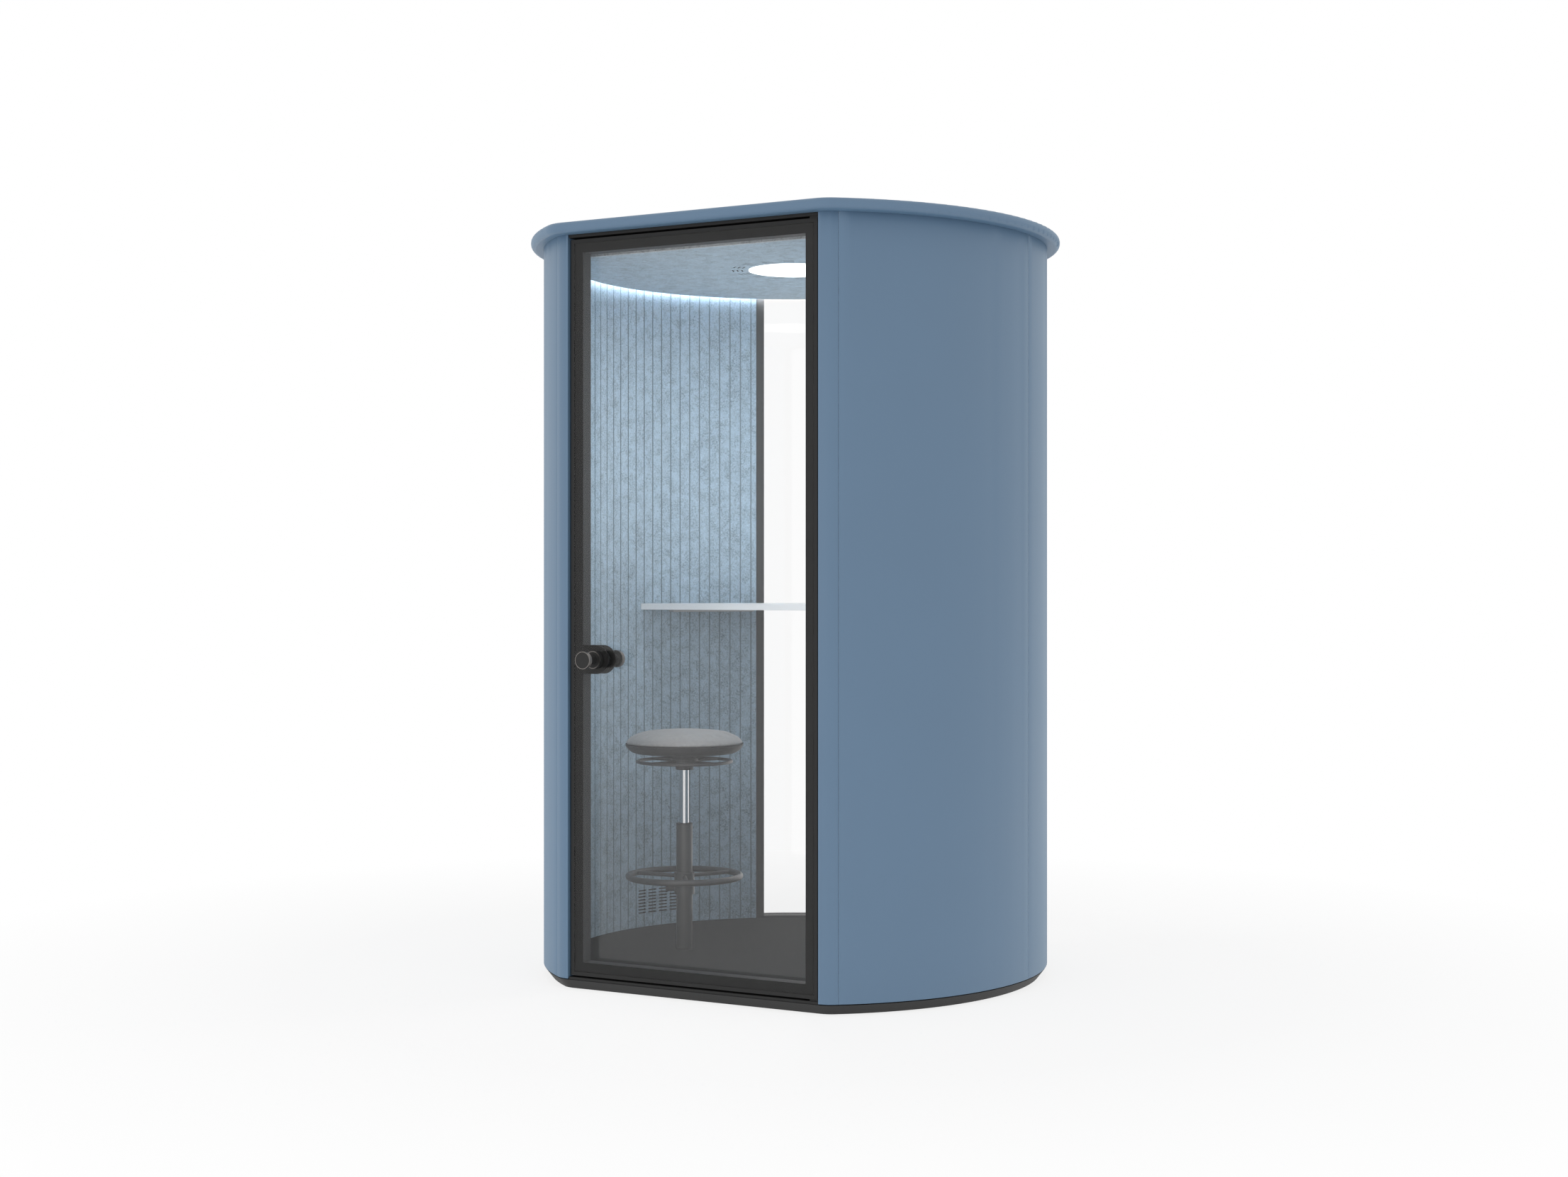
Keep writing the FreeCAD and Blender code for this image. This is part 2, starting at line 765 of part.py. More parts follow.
def make_roof():
    """Roof cap with a round nose and the fan's intake slots."""
    body = plan_plate(
        "roof_body",
        "wall_radius + roof_overhang",
        "front_reach + roof_overhang",
        "corner_radius + roof_overhang",
        "wall_top",
        "roof_thickness",
    )
    doc.recompute()
    pad = body.Tip
    level = (0, gauge("roof_thickness"))
    rims = [
        f"Edge{number}"
        for number, edge in enumerate(pad.Shape.Edges, start=1)
        if any(all(math.isclose(v.Z, z, abs_tol=1e-6) for v in edge.Vertexes) for z in level)
    ]
    nose = body.newObject("PartDesign::Fillet", "roof_nose")
    nose.Base = (pad, rims)
    bind(nose, "Radius", "roof_nose")
    slots = [
        middle_box(
            f"intake_{index}",
            "intake_slot_length",
            "intake_slot_width",
            "roof_thickness + 2 * cut_overrun",
            f"fan_back + {index - (INTAKE_SLOTS - 1) / 2} * intake_pitch - intake_slot_width / 2",
            "wall_top - cut_overrun",
        )
        for index in range(INTAKE_SLOTS)
    ]
    name_part(cut("roof", body, group("intake_slots", slots)), "roof_cap")


def make_ceiling():
    """Felt ceiling with its air slots, fascia, carrier, lights and power unit."""
    panel = plan_plate(
        "ceiling",
        CEILING_RADIUS,
        CEILING_FRONT,
        "ceiling_corner",
        "ceiling_underside",
        "ceiling_thickness",
        hole="light_radius + light_gap",
    )
    slots = [
        radial_box(
            f"air_slot_{ring}_{index}",
            f"({index} * 360 / {AIR_SLOTS_ROUND})",
            f"air_ring_start + air_ring_pitch * {ring} - air_slot_width / 2",
            "air_slot_width",
            "air_slot_length",
            "ceiling_underside - cut_overrun",
            "ceiling_thickness + 2 * cut_overrun",
        )
        for ring in range(AIR_RINGS)
        for index in range(AIR_SLOTS_ROUND)
    ]
    name_part(cut("ceiling_slotted", panel, group("air_slots", slots)), "ceiling_panel")

    fascia_reach = "(front_reach - ceiling_setback)"
    fascia = middle_box(
        "fascia",
        f"2 * sqrt({CEILING_RADIUS} ^ 2 - {fascia_reach} ^ 2)",
        "fascia_thickness",
        "wall_top - ceiling_underside",
        f"0 - {fascia_reach}",
        "ceiling_underside",
    )
    name_part(fascia, "ceiling_fascia")

    carrier_height = f"wall_top - {CEILING_TOP}"
    hoop = plan_plate("hoop", CARRIER_RADIUS, CARRIER_FRONT, "ceiling_corner", CEILING_TOP, carrier_height)
    inside = plan_plate(
        "hoop_inside",
        f"{CARRIER_RADIUS} - carrier_width",
        f"{CARRIER_FRONT} - carrier_width",
        "ceiling_corner",
        CEILING_TOP,
        carrier_height,
    )
    name_part(cut("carrier", hoop, inside), "ceiling_carrier")

    strip = sector(
        "strip",
        f"{CARRIER_RADIUS} + layer_gap + strip_thickness",
        f"{CARRIER_RADIUS} + layer_gap",
        f"{CEILING_TOP} + strip_rise",
        "strip_height",
        "90 - strip_sweep_angle / 2",
        "strip_sweep_angle",
    )
    name_part(strip, "led_strip")

    diffuser_bottom = "(ceiling_underside - light_proud)"
    diffuser = cylinder("diffuser", "light_radius", "diffuser_thickness", z=diffuser_bottom)
    name_part(diffuser, "light_diffuser")
    flange_radius = "light_radius + light_flange"
    flange_top = f"{CEILING_TOP} + light_flange_thickness"
    can_radius = "light_radius - light_can_inset"
    can_top = f"{CEILING_TOP} + light_flange_thickness + light_can_height"
    housing = turned(
        "housing",
        [
            ("0", f"{diffuser_bottom} + diffuser_thickness"),
            ("light_radius", f"{diffuser_bottom} + diffuser_thickness"),
            ("light_radius", CEILING_TOP),
            (flange_radius, CEILING_TOP),
            (flange_radius, flange_top),
            (can_radius, flange_top),
            (can_radius, can_top),
            ("0", can_top),
        ],
    )
    name_part(housing, "light_housing")

    driver = box(
        "driver",
        "driver_length",
        "driver_width",
        "driver_height",
        "0 - driver_left - driver_length / 2",
        "driver_back",
        CEILING_TOP,
    )
    name_part(driver, "led_driver")


def make_fan():
    """Slim fan hung under the roof: square housing with a boss on struts, and a rotor."""
    bottom = "(wall_top - fan_depth)"
    block = middle_box("fan_block", "fan_size", "fan_size", "fan_depth", "fan_back - fan_size / 2", bottom)
    bore = cylinder(
        "fan_bore",
        "fan_bore_radius",
        "fan_depth + 2 * cut_overrun",
        y="fan_back",
        z=f"{bottom} - cut_overrun",
    )
    boss = cylinder("fan_boss", "fan_hub_radius", "fan_boss_depth", y="fan_back", z=bottom)
    struts = []
    for index in range(FAN_STRUTS // 2):
        turn = f"({index} * 90 + 45)"
        strut = doc.addObject("Part::Box", f"fan_strut_{index}")
        bind(strut, "Length", "2 * fan_bore_radius + fan_strut")
        bind(strut, "Width", "fan_strut")
        bind(strut, "Height", "fan_strut")
        half = "(fan_bore_radius + fan_strut / 2)"
        x = f"0 - {half} * cos{turn} + fan_strut / 2 * sin{turn}"
        y = f"fan_back - {half} * sin{turn} - fan_strut / 2 * cos{turn}"
        struts.append(place(strut, x, y, bottom, turn))
    name_part(fuse("fan_body", [cut("fan_frame", block, bore), boss, *struts]), "fan_housing")

    hub_bottom = f"({bottom} + fan_boss_depth + fan_gap)"
    hub_height = "(fan_depth - fan_boss_depth - fan_gap - fan_top_gap)"
    hub = cylinder("rotor_hub", "fan_hub_radius", hub_height, y="fan_back", z=hub_bottom)
    blades = []
    for index in range(FAN_BLADES):
        angle = f"({index} * 360 / {FAN_BLADES})"
        blade = doc.addObject("Part::Box", f"blade_{index}")
        bind(blade, "Length", "fan_bore_radius - blade_tip_gap - fan_hub_radius + blade_root")
        bind(blade, "Width", "blade_chord")
        bind(blade, "Height", "blade_thickness")
        pitch = FreeCAD.Rotation(UP, gauge(angle)).multiply(FreeCAD.Rotation(SIDEWAYS, BLADE_PITCH))
        blade.Placement = FreeCAD.Placement(ORIGIN, pitch)
        across = f"(blade_chord / 2 * cos({BLADE_PITCH}))"
        rise = f"(blade_chord / 2 * sin({BLADE_PITCH}))"
        inner = "(fan_hub_radius - blade_root)"
        place(
            blade,
            f"{inner} * cos{angle} + {across} * sin{angle}",
            f"fan_back + {inner} * sin{angle} - {across} * cos{angle}",
            f"{hub_bottom} + {hub_height} / 2 - {rise}",
        )
        blades.append(blade)
    name_part(fuse("rotor", [hub, *blades]), "fan_rotor")


def make_door_frame():
    """Header, stops, seals and the fixed halves of the pivots."""
    depth = f"front_reach - threshold_recess - {FLOOR_FRONT}"
    header = middle_box(
        "header", "door_opening", depth, "header_height", "threshold_recess - front_reach", HEADER_BOTTOM
    )
    name_part(header, "door_header")

    side_height = f"{HEADER_BOTTOM} - {CARPET_TOP}"
    stop_left = "0 - door_opening / 2"
    stop_right = "door_opening / 2 - stop_width"
    top_length = "door_opening - 2 * stop_width"
    stops = [
        box(f"stop_{side}", "stop_width", "stop_depth", side_height, x, STOP_FACE, CARPET_TOP)
        for side, x in (("left", stop_left), ("right", stop_right))
    ]
    stops.append(
        middle_box(
            "stop_top", top_length, "stop_depth", "stop_width", STOP_FACE, f"{HEADER_BOTTOM} - stop_width"
        )
    )
    name_part(group("stops", stops), "door_stops")

    seal_face = f"{STOP_FACE} - seal_thickness"
    seal_height = f"{side_height} - seal_inset"
    seals = [
        box(f"seal_{side}", "seal_width", "seal_thickness", seal_height, x, seal_face, CARPET_TOP)
        for side, x in (
            ("left", "seal_inset - door_opening / 2"),
            ("right", "door_opening / 2 - seal_inset - seal_width"),
        )
    ]
    seals.append(
        middle_box(
            "seal_top",
            "door_opening - 2 * seal_inset - 2 * seal_width",
            "seal_thickness",
            "seal_width",
            seal_face,
            f"{HEADER_BOTTOM} - seal_inset - seal_width",
        )
    )
    name_part(group("seals", seals), "door_seals")

    shoe_x = f"{PIVOT_X} - shoe_length / 2"
    shoe_y = f"{PIVOT_Y} - shoe_width / 2"
    low_shoe = "door_bottom_gap - pivot_gap"
    high_shoe = "door_top_gap - pivot_gap"
    shoe_bottom = "plinth_top + threshold_height"
    shoes = [
        box("shoe_low", "shoe_length", "shoe_width", low_shoe, shoe_x, shoe_y, shoe_bottom),
        box("shoe_high", "shoe_length", "shoe_width", high_shoe, shoe_x, shoe_y, f"{LEAF_TOP} + pivot_gap"),
    ]
    name_part(group("shoes", shoes), "pivot_shoes")
    pins = [
        cylinder("pin_low", "pivot_radius", "pivot_depth", PIVOT_X, PIVOT_Y, f"{LEAF_BOTTOM} - pivot_gap"),
        cylinder(
            "pin_high",
            "pivot_radius",
            "pivot_depth",
            PIVOT_X,
            PIVOT_Y,
            f"{LEAF_TOP} + pivot_gap - pivot_depth",
        ),
    ]
    name_part(group("pins", pins), "pivot_pins")


def make_door_leaf():
    """Leaf frame, two panes, tabs behind the panes and the pivot bushes."""
    leaf_width = f"2 * {LEAF_HALF}"
    leaf_height = f"{LEAF_TOP} - {LEAF_BOTTOM}"
    blank = middle_box("leaf_blank", leaf_width, LEAF_DEPTH, leaf_height, LEAF_FACE, LEAF_BOTTOM)
    rebate_width = f"{leaf_width} - 2 * frame_edge"
    rebate_height = f"{leaf_height} - 2 * frame_edge"
    rebate_bottom = f"{LEAF_BOTTOM} + frame_edge"
    inner_rebate = f"{LEAF_BACK} - pane_thickness"
    cutters = [
        middle_box(
            "leaf_opening",
            f"{leaf_width} - 2 * frame_border",
            f"{LEAF_DEPTH} + 2 * cut_overrun",
            f"{leaf_height} - 2 * frame_border",
            f"{LEAF_FACE} - cut_overrun",
            f"{LEAF_BOTTOM} + frame_border",
        ),
        middle_box(
            "rebate_outer",
            rebate_width,
            "pane_thickness + cut_overrun",
            rebate_height,
            f"{LEAF_FACE} - cut_overrun",
            rebate_bottom,
        ),
        middle_box(
            "rebate_inner",
            rebate_width,
            "pane_thickness + cut_overrun",
            rebate_height,
            inner_rebate,
            rebate_bottom,
        ),
    ]
    bush_outer = "(pivot_radius + pivot_gap + bush_wall)"
    bush_levels = {"low": LEAF_BOTTOM, "high": f"({LEAF_TOP} - pivot_depth)"}
    bore_levels = {"low": f"({LEAF_BOTTOM} - cut_overrun)", "high": bush_levels["high"]}
    bushes = []
    for end, level in bush_levels.items():
        bore = cylinder(
            f"bush_bore_{end}",
            f"{bush_outer} + bush_fit",
            "pivot_depth + cut_overrun",
            PIVOT_X,
            PIVOT_Y,
            bore_levels[end],
        )
        cutters.append(bore)
        bush = tube(
            f"bush_{end}", bush_outer, "pivot_radius + pivot_gap", "pivot_depth", PIVOT_X, PIVOT_Y, level
        )
        bushes.append(bush)
    name_part(cut("leaf_frame", blank, group("leaf_cutters", cutters)), "door_leaf_frame")
    name_part(group("bushes", bushes), "pivot_bushes")

    hole_radius = "spindle_radius + spindle_gap"
    hole_depth = f"{LEAF_DEPTH} + 2 * cut_overrun"
    tabs = []
    faces = {
        "outer": (LEAF_FACE, f"{LEAF_FACE} + pane_thickness"),
        "inner": (inner_rebate, f"{inner_rebate} - tab_thickness"),
    }
    for side, (pane_y, tab_y) in faces.items():
        sheet_of_glass = middle_box(
            f"pane_{side}",
            f"{rebate_width} - 2 * glazing_gap",
            "pane_thickness",
            f"{rebate_height} - 2 * glazing_gap",
            pane_y,
            f"{rebate_bottom} + glazing_gap",
        )
        hole = knob_cylinder(f"pane_hole_{side}", hole_radius, hole_depth, f"{LEAF_FACE} - cut_overrun")
        name_part(cut(f"pane_drilled_{side}", sheet_of_glass, hole), f"door_glass_{side}")

        tongue = box(
            f"tab_tongue_{side}",
            "knob_inset - frame_border",
            "tab_thickness",
            "2 * tab_radius",
            f"frame_border - {LEAF_HALF}",
            tab_y,
            "knob_height - tab_radius",
        )
        round_end = knob_cylinder(f"tab_round_{side}", "tab_radius", "tab_thickness", tab_y)
        tab_hole = knob_cylinder(f"tab_hole_{side}", hole_radius, hole_depth, f"{LEAF_FACE} - cut_overrun")
        tabs.append(cut(f"tab_{side}", fuse(f"tab_blank_{side}", [tongue, round_end]), tab_hole))
    name_part(group("tabs", tabs), "knob_tabs")


def make_knob():
    """Spindle, spacer, rosettes, discs and bright rings of the pull knob."""
    core_radius = "knob_radius - knob_ring"
    hole_radius = "spindle_radius + spindle_gap"
    outer_end = f"({LEAF_FACE} - knob_reach)"
    inner_end = f"({LEAF_BACK} + knob_reach)"
    spindle = knob_cylinder(
        "spindle",
        "spindle_radius",
        f"{inner_end} - {outer_end} - 2 * knob_disc_thickness",
        f"{outer_end} + knob_disc_thickness",
    )
    name_part(spindle, "knob_spindle")
    spacer_start = f"({LEAF_FACE} + pane_thickness + tab_thickness)"
    spacer_length = "pane_spacing - pane_thickness - 2 * tab_thickness"
    spacer = cut(
        "spacer",
        knob_cylinder("spacer_bar", "spacer_radius", spacer_length, spacer_start),
        knob_cylinder("spacer_bore", hole_radius, spacer_length, spacer_start),
    )
    name_part(spacer, "knob_spacer")

    wide = "(rosette_depth - rosette_ring_width)"
    disc_depth = "knob_disc_thickness - knob_face_recess"
    sides = {
        "outer": {
            "rosette": f"{LEAF_FACE} - rosette_depth",
            "wide": f"{LEAF_FACE} - {wide}",
            "low_ring": f"{LEAF_FACE} - rosette_depth",
            "disc": f"{outer_end} + knob_face_recess",
            "rim": outer_end,
        },
        "inner": {
            "rosette": LEAF_BACK,
            "wide": LEAF_BACK,
            "low_ring": f"{LEAF_BACK} + {wide}",
            "disc": f"{inner_end} - knob_disc_thickness",
            "rim": f"{inner_end} - knob_disc_thickness",
        },
    }
    rosettes, discs, rings = [], [], []
    for side, start in sides.items():
        stem = knob_cylinder(f"rosette_stem_{side}", core_radius, "rosette_depth", start["rosette"])
        skirt = knob_cylinder(f"rosette_skirt_{side}", "knob_radius", wide, start["wide"])
        bore = knob_cylinder(f"rosette_bore_{side}", hole_radius, "rosette_depth", start["rosette"])
        rosettes.append(cut(f"rosette_{side}", fuse(f"rosette_blank_{side}", [stem, skirt]), bore))
        discs.append(knob_cylinder(f"disc_{side}", core_radius, disc_depth, start["disc"]))
        for ring, depth in (("low_ring", "rosette_ring_width"), ("rim", "knob_disc_thickness")):
            band = knob_cylinder(f"{ring}_band_{side}", "knob_radius", depth, start[ring])
            middle = knob_cylinder(f"{ring}_bore_{side}", core_radius, depth, start[ring])
            rings.append(cut(f"{ring}_{side}", band, middle))
    name_part(group("rosettes", rosettes), "knob_rosettes")
    name_part(group("discs", discs), "knob_discs")
    name_part(group("rings", rings), "knob_rings")


def make_desk():
    """Desk top across the back and the ledgers that carry it."""
    edge = f"({INNER_RADIUS} - desk_gap)"
    bottom = "(desk_height - desk_thickness)"
    slab = cylinder("desk_round", edge, "desk_thickness", z=bottom)
    rear = middle_box(
        "desk_rear", "2 * wall_radius", "wall_radius - desk_front", "desk_thickness", "desk_front", bottom
    )
    name_part(common("desk", slab, rear), "desk_top")
    sweep = "(90 - window_angle - ledger_start_angle - ledger_end_gap_angle)"
    ledgers = [
        sector(
            f"ledger_{side}",
            edge,
            f"{edge} - ledger_width",
            f"{bottom} - ledger_thickness",
            "ledger_thickness",
            start,
            sweep,
        )
        for side, start in (
            ("right", "ledger_start_angle"),
            ("left", f"180 - ledger_start_angle - {sweep}"),
        )
    ]
    name_part(group("ledgers", ledgers), "desk_ledgers")


def make_stool_lift():
    """Flange, column, guide bush, piston rod and gas cylinder."""
    flange = cylinder(
        "flange", "flange_radius", "flange_thickness", STOOL_X, STOOL_Y, f"{DECK_TOP} - flange_thickness"
    )
    name_part(flange, "stool_flange")
    bore_radius = "column_radius - column_wall"
    column = tube(
        "column", "column_radius", bore_radius, f"column_top - {DECK_TOP}", STOOL_X, STOOL_Y, DECK_TOP
    )
    name_part(column, "stool_column")

    guide = "cylinder_radius + sleeve_gap"
    sleeve = f"{bore_radius} - sleeve_gap"
    bush = turned(
        "guide",
        [
            (guide, "column_top - bush_length"),
            (sleeve, "column_top - bush_length"),
            (sleeve, "column_top"),
            ("column_radius", "column_top"),
            ("column_radius", "column_top + bush_cap"),
            (guide, "column_top + bush_cap"),
        ],
        STOOL_X,
        STOOL_Y,
    )
    name_part(bush, "guide_bush")

    bore = "cylinder_radius - cylinder_wall"
    piston = f"{bore} - sleeve_gap"
    nut_top = f"{DECK_TOP} + rod_nut_height"
    rod = turned(
        "rod",
        [
            ("0", DECK_TOP),
            ("rod_nut_radius", DECK_TOP),
            ("rod_nut_radius", nut_top),
            ("rod_radius", nut_top),
            ("rod_radius", "rod_top - piston_height"),
            (piston, "rod_top - piston_height"),
            (piston, "rod_top"),
            ("0", "rod_top"),
        ],
        STOOL_X,
        STOOL_Y,
    )
    name_part(rod, "gas_piston_rod")

    top = "hub_bottom + cylinder_socket - layer_gap"
    throat = "rod_radius + sleeve_gap"
    gas = turned(
        "gas",
        [
            (throat, "cylinder_bottom"),
            ("cylinder_radius", "cylinder_bottom"),
            ("cylinder_radius", top),
            ("0", top),
            ("0", f"{top} - cylinder_cap"),
            (bore, f"{top} - cylinder_cap"),
            (bore, "cylinder_bottom + cylinder_cap"),
            (throat, "cylinder_bottom + cylinder_cap"),
        ],
        STOOL_X,
        STOOL_Y,
    )
    name_part(gas, "gas_cylinder")


def make_seat():
    """Hub, shell, cushion and the ring lever under the seat."""
    socket = "cylinder_radius + sleeve_gap"
    socket_top = "hub_bottom + cylinder_socket"
    foot_top = "hub_bottom + hub_foot_height"
    flare = "shell_bottom - hub_flare_height"
    hub = turned(
        "hub",
        [
            (socket, "hub_bottom"),
            ("hub_foot_radius", "hub_bottom"),
            ("hub_foot_radius", foot_top),
            ("hub_ledge_radius", foot_top),
            ("hub_ledge_radius", HUB_LEDGE_TOP),
            ("hub_radius", HUB_LEDGE_TOP),
            ("hub_radius", flare),
            ("hub_flare_radius", "shell_bottom"),
            ("0", "shell_bottom"),
            ("0", socket_top),
            (socket, socket_top),
        ],
        STOOL_X,
        STOOL_Y,
    )
    name_part(hub, "seat_hub")

    low_radius, rim_radius = gauge("shell_bottom_radius"), gauge("shell_radius")
    low, rim_low, seam = gauge("shell_bottom"), gauge("seat_seam - shell_rim"), gauge("seat_seam")
    bow = math.sin(math.pi / 4)
    halfway = FreeCAD.Vector(low_radius + (rim_radius - low_radius) * bow, 0, rim_low - (rim_low - low) * bow)
    start = FreeCAD.Vector(low_radius, 0, low)
    end = FreeCAD.Vector(rim_radius, 0, rim_low)
    shell_edges = [
        Part.LineSegment(FreeCAD.Vector(0, 0, low), start).toShape(),
        Part.Arc(start, halfway, end).toShape(),
        Part.LineSegment(end, FreeCAD.Vector(rim_radius, 0, seam)).toShape(),
        Part.LineSegment(FreeCAD.Vector(rim_radius, 0, seam), FreeCAD.Vector(0, 0, seam)).toShape(),
        Part.LineSegment(FreeCAD.Vector(0, 0, seam), FreeCAD.Vector(0, 0, low)).toShape(),
    ]
    spun_part("seat_shell", shell_edges)

    radius = gauge("cushion_radius")
    height = gauge("cushion_height")
    foot = FreeCAD.Vector(radius - gauge("cushion_tuck"), 0, seam)
    bulge = FreeCAD.Vector(radius, 0, seam + height * BULGE_HEIGHT_SHARE)
    shoulder = FreeCAD.Vector(radius * SHOULDER_RADIUS_SHARE, 0, seam + height * SHOULDER_HEIGHT_SHARE)
    top = FreeCAD.Vector(0, 0, seam + height)
    drop = top.z - shoulder.z
    dome_radius = (shoulder.x ** 2 + drop ** 2) / (2 * drop)
    crown_x = shoulder.x * CROWN_RADIUS_SHARE
    crown = FreeCAD.Vector(crown_x, 0, top.z - dome_radius + math.sqrt(dome_radius ** 2 - crown_x ** 2))
    cushion_edges = [
        Part.LineSegment(FreeCAD.Vector(0, 0, seam), foot).toShape(),
        Part.Arc(foot, bulge, shoulder).toShape(),
        Part.Arc(shoulder, crown, top).toShape(),
        Part.LineSegment(top, FreeCAD.Vector(0, 0, seam)).toShape(),
    ]
    spun_part("seat_cushion", cushion_edges)

    sleeve_inner = "(hub_radius + sleeve_gap)"
    sleeve_outer = f"({sleeve_inner} + lever_sleeve_wall)"
    sleeve = cylinder(
        "lever_sleeve", sleeve_outer, "lever_sleeve_height", STOOL_X, STOOL_Y, HUB_LEDGE_TOP
    )
    ring = torus("lever_hoop", "lever_radius", "lever_tube", LEVER_HEIGHT)
    bars = [
        spoke(
            f"lever_spoke_{index}",
            "lever_spoke_radius",
            "hub_radius",
            "lever_radius - hub_radius",
            f"(lever_turn_angle + {index} * 360 / {LEVER_SPOKES})",
            LEVER_HEIGHT,
        )
        for index in range(LEVER_SPOKES)
    ]
    bore = cylinder(
        "lever_bore",
        sleeve_inner,
        "lever_sleeve_height + 2 * cut_overrun",
        STOOL_X,
        STOOL_Y,
        f"{HUB_LEDGE_TOP} - cut_overrun",
    )
    name_part(cut("lever", fuse("lever_frame", [sleeve, ring, *bars]), bore), "lift_ring")


def spun_part(label, edges):
    """A sub-part spun about the stool's axis from the edges of its half profile."""
    item = doc.addObject("Part::Feature", f"{label}_solid")
    item.Shape = Part.Face(Part.Wire(edges)).revolve(ORIGIN, UP, 360)
    place(item, STOOL_X, STOOL_Y)
    name_part(item, label)


def torus(name, radius, tube_radius, height):
    """A round hoop about the stool's axis."""
    item = doc.addObject("Part::Torus", name)
    bind(item, "Radius1", radius)
    bind(item, "Radius2", tube_radius)
    return place(item, STOOL_X, STOOL_Y, height)


def make_foot_ring():
    """Foot ring with its spokes and collar, and the clamp screw."""
    collar = cylinder(
        "collar", "collar_radius", "collar_top - collar_bottom", STOOL_X, STOOL_Y, "collar_bottom"
    )
    ring = torus("foot_hoop", "ring_radius", "ring_tube", "ring_height")
    bars = [
        spoke(
            f"ring_spoke_{index}",
            "ring_spoke_radius",
            "column_radius",
            "ring_radius - column_radius",
            f"(ring_turn_angle + {index} * 360 / {RING_SPOKES})",
            "ring_height",
        )
        for index in range(RING_SPOKES)
    ]
    bore = cylinder(
        "collar_bore",
        "column_radius + sleeve_gap",
        "collar_top - collar_bottom + 2 * cut_overrun",
        STOOL_X,
        STOOL_Y,
        "collar_bottom - cut_overrun",
    )
    screw_hole = spoke(
        "screw_hole",
        "clamp_shaft_radius + clamp_gap",
        "column_radius - cut_overrun",
        "collar_radius - column_radius + 2 * cut_overrun",
        "clamp_angle",
        "clamp_height",
    )
    frame = fuse("foot_frame", [collar, ring, *bars])
    name_part(cut("foot_ring_cut", frame, group("foot_cutters", [bore, screw_hole])), "foot_ring")

    tip = "(column_radius + 2 * sleeve_gap)"
    shaft = spoke(
        "screw_shaft",
        "clamp_shaft_radius",
        tip,
        f"clamp_head_start - {tip}",
        "clamp_angle",
        "clamp_height",
    )
    head = spoke(
        "screw_head",
        "clamp_head_radius",
        "clamp_head_start",
        "clamp_reach - clamp_head_start",
        "clamp_angle",
        "clamp_height",
    )
    body = doc.addObject("PartDesign::Body", "screw_wing")
    sketch = new_sketch(body, "wing_outline", "XZ_Plane")
    draw_outline(
        sketch,
        [
            ("wing_start", "0 - wing_root_half"),
            ("clamp_reach", "0 - wing_half"),
            ("clamp_reach", "wing_half"),
            ("wing_start", "wing_root_half"),
        ],
    )
    pad = body.newObject("PartDesign::Pad", "wing_pad")
    pad.Profile = sketch
    pad.Midplane = True
    bind(pad, "Length", "wing_thickness")
    place(body, STOOL_X, STOOL_Y, "clamp_height", "clamp_angle")
    name_part(fuse("screw", [shaft, head, body]), "clamp_screw")


def check_and_write():
    """Stop on any failed object or bad shape, then write each sub-part to its own file."""
    doc.recompute()
    for item in doc.Objects:
        if {"Invalid", "Error"} & set(item.State):
            raise RuntimeError(f"{item.Label} failed: {item.State}")
    for item in sub_parts:
        if item.Shape.isNull() or not item.Shape.isValid() or not item.Shape.Solids:
            raise RuntimeError(f"{item.Label} has no sound solid")
    os.makedirs("parts", exist_ok=True)
    for item in sub_parts:
        item.Shape.exportStep(f"parts/{item.Label}.step")
        print(f"{item.Label}: {len(item.Shape.Solids)} solids, {item.Shape.Volume:.0f} cubic mm")


make_base()
make_walls()
make_rear_window()
make_roof()
make_ceiling()
make_fan()
make_door_frame()
make_door_leaf()
make_knob()
make_desk()
make_stool_lift()
make_seat()
make_foot_ring()
check_and_write()
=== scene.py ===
import logging
import math
from dataclasses import dataclass, replace
from enum import Enum
from functools import cache

import bmesh
import bpy
from mathutils import Euler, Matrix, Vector


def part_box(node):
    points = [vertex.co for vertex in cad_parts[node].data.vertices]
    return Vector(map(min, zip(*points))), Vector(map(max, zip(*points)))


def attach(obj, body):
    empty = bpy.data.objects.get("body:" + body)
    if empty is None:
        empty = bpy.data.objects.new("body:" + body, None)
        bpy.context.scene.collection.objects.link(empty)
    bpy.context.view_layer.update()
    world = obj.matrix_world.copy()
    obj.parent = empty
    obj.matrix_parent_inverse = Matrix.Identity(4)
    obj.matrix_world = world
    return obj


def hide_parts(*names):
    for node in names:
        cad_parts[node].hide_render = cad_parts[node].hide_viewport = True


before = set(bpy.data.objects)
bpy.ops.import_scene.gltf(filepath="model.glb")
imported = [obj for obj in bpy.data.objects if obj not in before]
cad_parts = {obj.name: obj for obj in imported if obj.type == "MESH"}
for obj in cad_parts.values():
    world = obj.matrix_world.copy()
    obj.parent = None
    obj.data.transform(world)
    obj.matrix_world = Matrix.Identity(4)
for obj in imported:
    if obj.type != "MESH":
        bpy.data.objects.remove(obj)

Colour = tuple[float, float, float]
LOG = logging.getLogger("office_pod")

# The display curve: its top value, where its straight start ends, that start's slope, and the rest's
# shift and power
DISPLAY_TOP = 255
STRAIGHT_END = 0.04045
STRAIGHT_SLOPE = 12.92
CURVE_SHIFT = 0.055
CURVE_POWER = 2.4

# A colour Mix node's share and colour inputs, and its colour output
MIX_INPUTS = (0, 6, 7)
MIX_OUTPUT = 2

# Eased edges: the gap that welding closes, the steps across an edge, and the least angle that is eased
WELD_GAP = 0.00002
EDGE_STEPS = 2
EDGE_ANGLE = math.radians(40)

